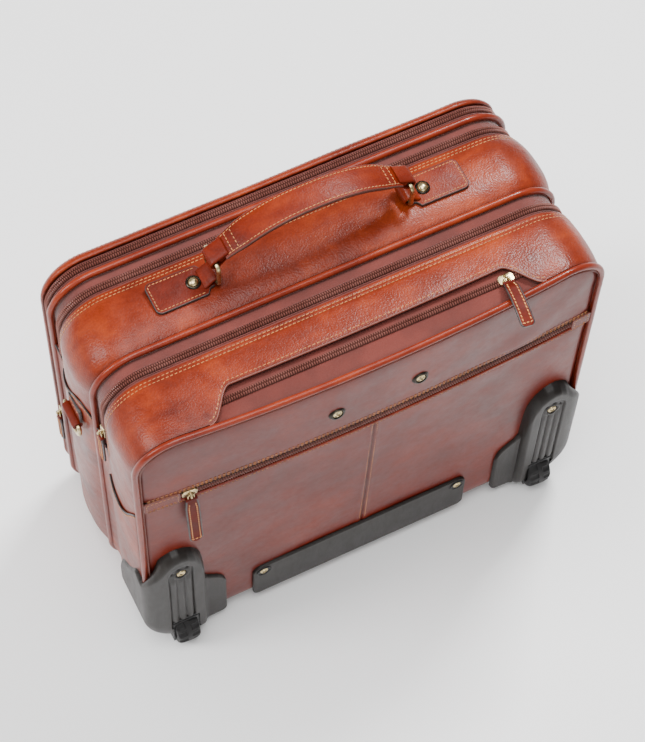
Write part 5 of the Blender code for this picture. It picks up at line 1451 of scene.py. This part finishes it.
def carry_handle():
    piece = Piece()
    x = np.linspace(-RING_X * 0.90, RING_X * 0.90, 121)
    z = handle_height(x)
    line = at(x, HANDLE_DEPTH, z)
    inner = np.clip(1 - np.abs(x) / (RING_X * 0.90), 0, 1)
    swell = smooth(inner * 3.2)
    width = 0.0225 + 0.0035 * smooth(inner * 4.0)
    above = 0.0018 + 0.0010 * swell
    below = 0.0013 + 0.0014 * swell
    wave = lumps(line, 0.03, 61) * 0.0004
    side, normal = strap(piece, line + np.array([0, 0, 1.0]) * wave[:, None], (0, 0, 1), width, above, below, TRIM,
                         EDGE_WARM, 0.0008)
    for s in (1, -1):
        across = side * (width / 2 - 0.0026)[:, None] * s
        path = line + across + normal * (above * 0.88)[:, None]
        stitches(piece, path[2:-2], normal[2:-2], THREAD, **HANDLE_STITCH)
        low = line + side * (width / 2 - 0.0026)[:, None] * s - normal * (below * 0.88)[:, None]
        stitches(piece, low[2:-2], -normal[2:-2], THREAD, **HANDLE_STITCH)
        # cross rows at the strap's end
        for share in (0.985, 0.915, 0.845):
            i = int(round((len(x) - 1) * (0.5 + s * share / 2)))
            share_across = np.linspace(-1, 1, 12)
            dome = 0.80 + 0.20 * (1 - np.abs(share_across) ** 3)
            row = (line[i] + side[i] * (share_across[:, None] * (width[i] / 2 - 0.0028))
                   + normal[i] * (above[i] * dome)[:, None])
            stitches(piece, row, normal[i], THREAD, pitch=0.0034, length=0.0025, radius=0.00038, lift=0.0001)
    # the leather that goes round each ring's upper bar
    for s in (1, -1):
        bar = at(s * RING_X, HANDLE_DEPTH, RING_FOOT + RING_SIZE - RING_BAR)
        slope = math.atan2(float(handle_height(0.080) - handle_height(RING_X)), RING_X - 0.080)
        angle = np.linspace(-0.55 * math.pi, 0.55 * math.pi, 22)
        radius = 0.0046
        direction = np.array([s * math.cos(slope), 0, -math.sin(slope)])
        lift = np.array([s * math.sin(slope), 0, math.cos(slope)])
        loop = bar + radius * (np.cos(angle)[:, None] * direction + np.sin(angle)[:, None] * lift)
        join = line[-1 if s > 0 else 0]
        back = join - direction * 0.004
        start = back - lift * 0.0022
        end = back + lift * 0.0022
        path = smoothed(resample(np.vstack([start, loop, end]), 44), 2)
        t, side_vec, n_vec = frames(path)
        side_vec = np.broadcast_to(np.array([0, 1.0, 0]), path.shape)
        n_vec = unit(np.cross(side_vec, t))
        if (n_vec[len(path) // 2] * direction).sum() < 0:
            n_vec = -n_vec
        u = np.array([-1, -0.97, -0.85, -0.5, 0, 0.5, 0.85, 0.97, 1.0])
        v = np.array([0.0, 0.55, 0.85, 1.0, 1.08, 1.0, 0.85, 0.55, 0.0])
        outer = (path[:, None] + side_vec[:, None] * (u[None, :, None] * 0.0086)
                 + n_vec[:, None] * (v[None, :, None] * 0.0013))
        inner_skin = path[:, None] + side_vec[:, None] * (u[None, ::-1, None] * 0.0086) - n_vec[:, None] * 0.0009
        section_loft(piece, np.concatenate([outer, inner_skin], 1), TRIM)
        ringed = []
        for back_by, half_t in ((0.0046, 0.0036), (0.0075, 0.0031), (0.0105, 0.0024), (0.0125, 0.0018)):
            centre = bar - direction * back_by
            oval = rounded(0, 0, 0.0084, half_t, half_t * 0.8, 3)
            ringed.append(centre + np.array([0, 1.0, 0]) * oval[:, :1] + lift * oval[:, 1:])
        section_loft(piece, np.stack(ringed), TRIM)
    handle = piece.done("handle_strap", "handle", "leather_trim", ("carry_handle",), 60)


def square_ring(side, word):
    piece = Piece()
    half = RING_SIZE / 2 - RING_BAR / 2
    shape = rounded(0, 0, half, half, 0.0050, 8)
    shape = resample(shape, 120, True)
    centre = at(side * RING_X, HANDLE_DEPTH, RING_FOOT + (RING_SIZE - RING_BAR) / 2)
    path = centre + np.stack([0 * shape[:, 0], shape[:, 0], shape[:, 1]], -1)
    normals = outward(shape)
    out = np.stack([0 * normals[:, 0], normals[:, 0], normals[:, 1]], -1)
    section = rounded(0, 0, RING_BAR / 2, RING_BAR / 2 - 0.0001, 0.0011, 4)
    sections = path[:, None] + np.array([1.0, 0, 0]) * section[None, :, :1] + out[:, None] * section[None, :, 1:]
    section_loft(piece, sections, BRASS, cyclic=True)
    piece.done(f"ring_{word}_brass", f"ring_{word}", "antique_brass", (f"handle_ring_{word}",), 60)


def tab(side, word):
    """Stitched tab on the case's top, its loop round the ring's lower bar, and its rivet."""
    piece = Piece()
    low = 0.3822
    outer, inner, neck = 0.1440, 0.0985, 0.0902
    pts = [(inner, -0.0152), *arc(outer - 0.0055, -0.0155 + 0.0055, 0.0055, -90, 90, 6),
           *arc(outer - 0.0055, 0.0155 - 0.0055, 0.0055, 0, 90, 6), (inner, 0.0152)]
    pts += [(inner - 0.0012, 0.0146), (inner - 0.0022, 0.0128), (inner - 0.0034, 0.0110), (inner - 0.0052, 0.0100),
            (neck, 0.0097), (neck, -0.0097), (inner - 0.0052, -0.0100), (inner - 0.0034, -0.0110),
            (inner - 0.0022, -0.0128), (inner - 0.0012, -0.0146)]
    outline_points = np.array(pts)
    if side < 0:
        outline_points = (outline_points * [-1, 1])[::-1]
    outline_points = resample(outline_points, 110, True)

    def place(r):
        fall = -0.045 * r[:, 1] * 0
        lift = lumps(np.column_stack([r[:, 0], r[:, 1], 0 * r[:, 0]]), 0.012, 71) * 0.00025
        return at(r[:, 0], HANDLE_DEPTH + r[:, 1], low + r[:, 2] + fall + lift * (r[:, 2] > 0.001))

    slab(piece, outline_points, 0.0030, place, TRIM, EDGE, 0.0008, dome=0.0006, steps=4)
    normals = outward(outline_points)
    inside = outline_points - normals * 0.0026
    keep = np.abs(inside[:, 0]) > inner + 0.0010
    start = int(np.argmax(~keep))
    inside = np.roll(inside, -start, 0)
    keep = np.roll(keep, -start)
    inside = inside[keep]
    path = at(inside[:, 0], HANDLE_DEPTH + inside[:, 1], low + 0.0031)
    stitches(piece, path, (0, 0, 1), THREAD, pitch=0.0034, length=0.0026, radius=0.00038, lift=0.0)
    # the neck goes over the ring's bar and back under
    bar = at(side * RING_X, HANDLE_DEPTH, RING_FOOT)
    a = np.linspace(math.radians(62), math.radians(285), 26)
    radius = 0.0042
    loop = bar + radius * np.stack([side * np.cos(a), 0 * a, np.sin(a)], -1)
    lead = at(side * np.array([0.0990, 0.0960, 0.0935]), HANDLE_DEPTH, np.array([0.3860, 0.3874, 0.3900]))
    tail = at(side * np.array([0.0915, 0.0960]), HANDLE_DEPTH, np.array([0.3834, 0.3832]))
    path = smoothed(resample(np.vstack([lead, loop, tail]), 54), 2)
    t, _, _ = frames(path)
    side_vec = np.broadcast_to(np.array([0, 1.0, 0]), path.shape)
    n_vec = unit(np.cross(side_vec, t))
    if ((path[25] - bar) * n_vec[25]).sum() < 0:
        n_vec = -n_vec
    u = np.array([-1, -0.97, -0.85, -0.5, 0, 0.5, 0.85, 0.97, 1.0])
    v = np.array([0.0, 0.55, 0.85, 0.95, 1.0, 0.95, 0.85, 0.55, 0.0])
    wide = 0.0098 - 0.0006 * np.sin(np.linspace(0, np.pi, len(path)))
    outer_skin = (path[:, None] + side_vec[:, None] * (u[None] * wide[:, None])[..., None]
                  + n_vec[:, None] * (v[None, :, None] * 0.0009))
    inner_skin = (path[:, None] + side_vec[:, None] * (u[None, ::-1] * wide[:, None])[..., None]
                  - n_vec[:, None] * 0.0008)
    section_loft(piece, np.concatenate([outer_skin, inner_skin], 1), TRIM)
    piece.done(f"handle_tab_{word}_leather", "middle_section", "leather_trim", (f"handle_tab_{word}",), 50)
    rivet = Piece()
    seat = at(side * 0.1055, HANDLE_DEPTH, low + 0.0034)
    turned(rivet, [(0.0044, -0.0006), (0.0046, 0.0009), (0.0052, 0.0014), (0.0062, 0.0010), (0.0066, 0.0002),
                   (0.0066, -0.0008), (0.0044, -0.0008)], seat, (0, 0, 1), BRASS_DARK, 36)
    turned(rivet, [(0.0001, 0.0036), (0.0014, 0.0035), (0.0027, 0.0030), (0.0038, 0.0021), (0.0044, 0.0010),
                   (0.0046, 0.0002), (0.0001, 0.0)], seat, (0, 0, 1), BRASS, 36)
    rivet.done(f"handle_rivet_{word}_cap", "middle_section", "antique_brass", (f"handle_rivet_{word}",), 60)


# ---------------------------------------------------------------- D-rings at the sides
D_X, D_DEPTH, D_HEIGHT = 0.2262, 0.112, 0.268


def d_ring(side, word):
    piece = Piece()
    bar = at(side * D_X, D_DEPTH, D_HEIGHT)
    # leaf that goes up from the roll and is stitched to the side flap
    leaf = rounded(0, 0.0105, 0.0118, 0.0105, 0.0022, 3)
    slab(piece, leaf, 0.0024, lambda r: at(side * (0.2216 + r[:, 2]), D_DEPTH + r[:, 0] * side, D_HEIGHT + r[:, 1]),
         TRIM, EDGE, 0.0007, dome=0.0003)
    path = at(side * 0.2241, D_DEPTH + np.linspace(-0.0095, 0.0095, 12), D_HEIGHT + 0.0165)
    stitches(piece, path, (side, 0, 0), THREAD, pitch=0.0032, length=0.0024, radius=0.00036)
    a = np.linspace(0, 2 * np.pi, 30, endpoint=False)
    rows = []
    for y, r in ((-0.0122, 0.0040), (-0.0119, 0.0046), (-0.0100, 0.0048), (0.0, 0.00485), (0.0100, 0.0048),
                 (0.0119, 0.0046), (0.0122, 0.0040)):
        rows.append(bar + np.stack([r * np.cos(a), 0 * a + y, r * np.sin(a)], -1))
    inner = [bar + np.stack([0.0026 * np.cos(a), 0 * a + y, 0.0026 * np.sin(a)], -1) for y in (0.0122, -0.0122)]
    section_loft(piece, np.stack(rows + inner), TRIM, cyclic=True)
    piece.done(f"side_loop_{word}_leather", "middle_section", "leather_trim", (f"side_loop_{word}",), 50)
    ring_piece = Piece()
    half = 0.0150
    shape = [(-half, 0.0), (-half * 0.5, 0.0), (0.0, 0.0), (half * 0.5, 0.0), (half, 0.0)]
    for i in range(0, 17):
        angle = -math.pi * i / 16
        shape.append((half * math.cos(angle), -0.006 + 0.0150 * math.sin(angle)))
    shape = resample(np.array(shape), 90, True)
    shape = smoothed(shape, 3, True)
    path = bar + np.stack([0 * shape[:, 0], shape[:, 0], shape[:, 1]], -1)
    tube(ring_piece, path, 0.0020, BRASS, 12, cyclic=True)
    ring_piece.done(f"d_ring_{word}_brass", f"d_ring_{word}", "antique_brass", (f"d_ring_{word}",), 60)


# ---------------------------------------------------------------- sliders and pull tabs
EYE_HEIGHT = 0.0034


def slider_frame(origin, along, out):
    along, out = Vector(along).normalized(), Vector(out).normalized()
    turn = Matrix((along, out.cross(along), out)).transposed().to_4x4()
    return np.array(Matrix.Translation([float(v) for v in origin]) @ turn)


def carried(matrix, rows):
    rows = np.asarray(rows, float)
    return rows @ matrix[:3, :3].T + matrix[:3, 3]


def slider(name, matrix, runs_along_x, low=0.0003):
    """A cast slider: a waisted body with a lip all round and a bridge for the puller's link."""
    piece = Piece()
    a = np.linspace(0, 2 * np.pi, 48, endpoint=False)
    long, wide = 0.0072, 0.0050
    waist = 1 - 0.16 * np.cos(2 * a) ** 2 * (np.abs(np.sin(a)) > 0.5)
    shape = np.stack([long * np.sign(np.cos(a)) * np.abs(np.cos(a)) ** 0.6,
                      wide * waist * np.sign(np.sin(a)) * np.abs(np.sin(a)) ** 0.7], -1)
    if not runs_along_x:
        shape = (shape[:, ::-1])[::-1]
    slab(piece, shape, 0.0016 - low, lambda r: carried(matrix, np.column_stack([r[:, :2], r[:, 2] + low])), BRASS,
         None, 0.0006, dome=0.0004)
    arch = []
    for t in np.linspace(0, math.pi, 15):
        arch.append((0.0, 0.0030 * math.cos(t), 0.0014 + 0.0042 * math.sin(t) ** 0.8))
    line = carried(matrix, arch)
    tube(piece, line, 0.0009, BRASS, 10, flat=1.0)
    return piece.done(name + "_brass", name, "antique_brass", (name,), 55)


def pull_tab(name, matrix, turn, bends, width=0.0110, length_pitch=0.0032, yaw=0.0):
    """A stitched leather pull tab, folded round an oval wire link that passes through the slider's eye."""
    piece = Piece()
    eye = matrix @ np.array(Matrix.Translation((0, 0, EYE_HEIGHT)) @ Matrix.Rotation(math.radians(yaw), 4, "Z")
                            @ Matrix.Rotation(-math.radians(turn), 4, "X"))
    bends = np.array(bends)
    path = smoothed(resample(bends, 60), 6)
    length, rise = path[:, 0], path[:, 1]
    local = np.stack([0 * length, -length, rise], -1)
    share = np.linspace(0, 1, len(length))
    end_round = np.sqrt(np.clip(1 - np.clip((share - 0.93) / 0.07, 0, 1) ** 2, 0.12, 1))
    widths = width * (0.84 + 0.16 * smooth(share * 5)) * (0.35 + 0.65 * end_round)
    thick = 0.00150 + 0.00045 * np.exp(-((share - 0.10) / 0.10) ** 2)
    line = carried(eye, local)
    up = eye[:3, 2]
    side, normal = strap(piece, line, up, widths, thick, thick, PULL, EDGE, 0.0012)
    inset = widths / 2 - 0.0028
    keep = (share > 0.06) & (share < 0.935)
    rows = []
    for s in (1, -1):
        rows.append((line + side * (inset * s)[:, None] + normal * (thick * 0.90)[:, None])[keep])
    frame_path = np.vstack([rows[0], rows[1][::-1]])
    normals = np.vstack([normal[keep], normal[keep][::-1]])
    stitches(piece, frame_path, normals, THREAD_BRIGHT, pitch=length_pitch, length=0.0025, radius=0.00048,
             lift=0.0001)
    # folded root
    root = carried(eye, [(x, -bends[0][0] + 0.0004,
                          bends[0][1]) for x in np.linspace(-width * 0.42, width * 0.42, 9)])
    tube(piece, root, 0.00175, PULL, 12)
    first = float(bends[0][0])
    oval = rounded(0, -(first - 0.0002) / 2, 0.0027, (first + 0.0020) / 2, 0.0026, 6)
    link = carried(eye, np.column_stack([oval, 0 * oval[:, 0]]))
    tube(piece, link, 0.00065, BRASS, 8, cyclic=True)
    return piece.done(name + "_leather", name, "leather_trim", (name,), 50)


def sliders_and_tabs():
    slot = slider_frame(at(-0.1276, SLOT_ZIP, LEATHER_HEIGHT - 0.0030), (-1, 0, 0), (0, 0, 1))
    slider("slot_slider", slot, True, -0.0010)
    pull_tab("slot_puller", slot, 0.0, [(0.0060, 0.0), (0.0090, 0.0014), (0.0130, 0.0046), (0.0240, 0.0060),
                                        (0.0350, 0.0056), (0.0500, 0.0030)], 0.0125, yaw=-7.0)
    x = 0.170
    lean = float(bow(x, POCKET_ZIP_HEIGHT))
    slope = -2 * x * lean / (HALF ** 2 - x * x)
    rear = slider_frame(at(x, 0.0004 - lean, POCKET_ZIP_HEIGHT), (-1, -slope, 0), (-slope, 1, 0))
    slider("rear_slider", rear, True, -0.0010)
    pull_tab("rear_puller", rear, 7.0, [(0.0060, 0.0), (0.0300, 0.0004), (0.0480, 0.0002), (0.0720, 0.0)], 0.0125)
    for word, depth, above in (("zip_1", ZIP_1, 0.3050), ("zip_3", ZIP_3, 0.1340)):
        down = slider_frame(at(HALF - 0.0012, depth, above), (0, 1, 0), (1, 0, 0))
        slider(f"{word}_slider", down, False)
        pull_tab(f"{word}_puller", down, 0.0, [(0.0060, 0.0), (0.0300, 0.0), (0.0480, 0.0)], 0.0105)


# ---------------------------------------------------------------- inside
def laptop_sleeve():
    """The padded sleeve: its foam swells by cloth simulation, and its edge is bound afterwards."""
    w, h, thick = 0.176, 0.124, 0.0022
    piece = Piece()
    shape = rounded(0, 0, w, h, 0.012, 6)
    slab(piece, shape, thick * 2, lambda r: at(r[:, 0], 0.0528 + thick - r[:, 2], 0.136 + r[:, 1]), CLOTH, None,
         0.0015)
    obj = piece.done("laptop_sleeve_pad", "rear_section", "lining", ("laptop_sleeve",), 60)
    obj.parent = None
    remesh = obj.modifiers.new("even", "REMESH")
    remesh.mode = "VOXEL"
    remesh.voxel_size = 0.0022
    bpy.context.view_layer.objects.active = obj
    for other in bpy.context.selected_objects:
        other.select_set(False)
    obj.select_set(True)
    bpy.ops.object.modifier_apply(modifier="even")
    rest = np.array([v.co for v in obj.data.vertices])
    cloth = obj.modifiers.new("cloth", "CLOTH")
    cloth.settings.use_pressure = True
    cloth.settings.uniform_pressure_force = 2.0
    cloth.settings.effector_weights.gravity = 0.0
    cloth.settings.quality = 4
    for number in range(1, 13):
        bpy.context.scene.frame_set(number)
    graph = bpy.context.evaluated_depsgraph_get()
    moved = np.array([v.co for v in obj.evaluated_get(graph).data.vertices])
    obj.modifiers.remove(cloth)
    shift = moved - rest
    size = np.linalg.norm(shift, axis=1, keepdims=True)
    shift = shift * np.minimum(1.0, 0.0012 / np.maximum(size, 1e-9))
    obj.data.vertices.foreach_set("co", (rest + shift).reshape(-1))
    obj.data.update()
    bpy.context.scene.frame_set(1)
    for polygon in obj.data.polygons:
        polygon.use_smooth = True
    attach(obj, "rear_section")
    binding = Piece()
    path = rounded(0, 0, w + 0.0002, h + 0.0002, 0.012, 8)
    tube(binding, at(path[:, 0], 0.0528, 0.136 + path[:, 1]), 0.0024, TRIM, 10, cyclic=True)
    binding.done("laptop_sleeve_binding", "rear_section", "lining")


def finish_cad_nodes():
    """Better materials for the CAD nodes whose shapes stay."""
    for node, material in (("trolley_cover_panel", CLOTH), ("middle_back_panel", CLOTH), ("organiser_panel", CLOTH),
                           ("base_board", BOARD), ("front_foot_left", BLACK), ("front_foot_right", BLACK),
                           ("trolley_outer_frame", TUBE), ("trolley_middle_frame", TUBE),
                           ("trolley_inner_frame", TUBE), ("trolley_grip", PLASTIC), ("release_button", BLACK)):
        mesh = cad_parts[node].data
        for i in range(max(len(mesh.materials), 1)):
            if len(mesh.materials) <= i:
                mesh.materials.append(material)
            else:
                mesh.materials[i] = material


# ---------------------------------------------------------------- floor, light and camera
def surroundings():
    g = Graph("pale_floor", roughness=0.55)
    g.shader.inputs["Base Color"].default_value = (0.95, 0.95, 0.95, 1)
    floor = bpy.data.meshes.new("floor")
    floor.from_pydata([(-8, -8, 0), (8, -8, 0), (8, 8, 0), (-8, 8, 0)], [], [(0, 1, 2, 3)])
    floor.materials.append(g.material)
    floor_object = bpy.data.objects.new("floor", floor)
    bpy.context.scene.collection.objects.link(floor_object)
    world = bpy.data.worlds.new("studio")
    world.use_nodes = True
    world.node_tree.nodes["Background"].inputs[0].default_value = (1.0, 1.0, 1.0, 1)
    world.node_tree.nodes["Background"].inputs[1].default_value = WORLD
    bpy.context.scene.world = world
    for name, where, target, size, power in LIGHTS:
        light = bpy.data.lights.new(name, "AREA")
        light.shape = "RECTANGLE"
        light.size, light.size_y = size
        light.energy = power
        lamp = bpy.data.objects.new(name, light)
        bpy.context.scene.collection.objects.link(lamp)
        lamp.location = where
        lamp.rotation_euler = (Vector(target) - Vector(where)).to_track_quat("-Z", "Y").to_euler()


WORLD = 0.35
LIGHTS = (("overhead_softbox", (-1.15, -0.78, 2.3), INSIDE, (0.60, 0.36), 75.0),
          ("high_softbox", (0.5, 0.3, 3.4), INSIDE, (2.2, 2.2), 135.0),
          ("side_softbox", (2.2, -0.5, 1.7), INSIDE, (0.8, 1.2), 50.0),
          ("rear_fill", (0.6, 2.8, 1.2), INSIDE, (2.2, 1.2), 22.0))


def camera():
    position = Vector((0.4861, 0.87635, 2.1400))
    forward = Vector((-0.2238, -0.4059, -0.8861)).normalized()
    right = Vector((-0.8958, 0.4439, 0.0229))
    right = (right - forward * right.dot(forward)).normalized()
    up = right.cross(forward)
    data = bpy.data.cameras.new("camera")
    data.sensor_width = 36.0
    data.sensor_fit = "AUTO"
    data.lens = 118.819407
    data.clip_start = 0.05
    data.clip_end = 30.0
    made = bpy.data.objects.new("camera", data)
    bpy.context.scene.collection.objects.link(made)
    made.matrix_world = Matrix.Translation(position) @ Matrix((right, up, -forward)).transposed().to_4x4()
    bpy.context.scene.camera = made


def main():
    rear_band()
    middle_band()
    flaps()
    pipings()
    section_zips()
    pocket_zip()
    slot_zips()
    lower_gussets()
    front_leather()
    rear_panels()
    kick_plate()
    trolley_screws()
    for side, word in SIDES:
        housing(side, word)
        wheel(side, word)
        square_ring(side, word)
        tab(side, word)
        d_ring(side, word)
    carry_handle()
    sliders_and_tabs()
    laptop_sleeve()
    finish_cad_nodes()
    surroundings()
    camera()


main()
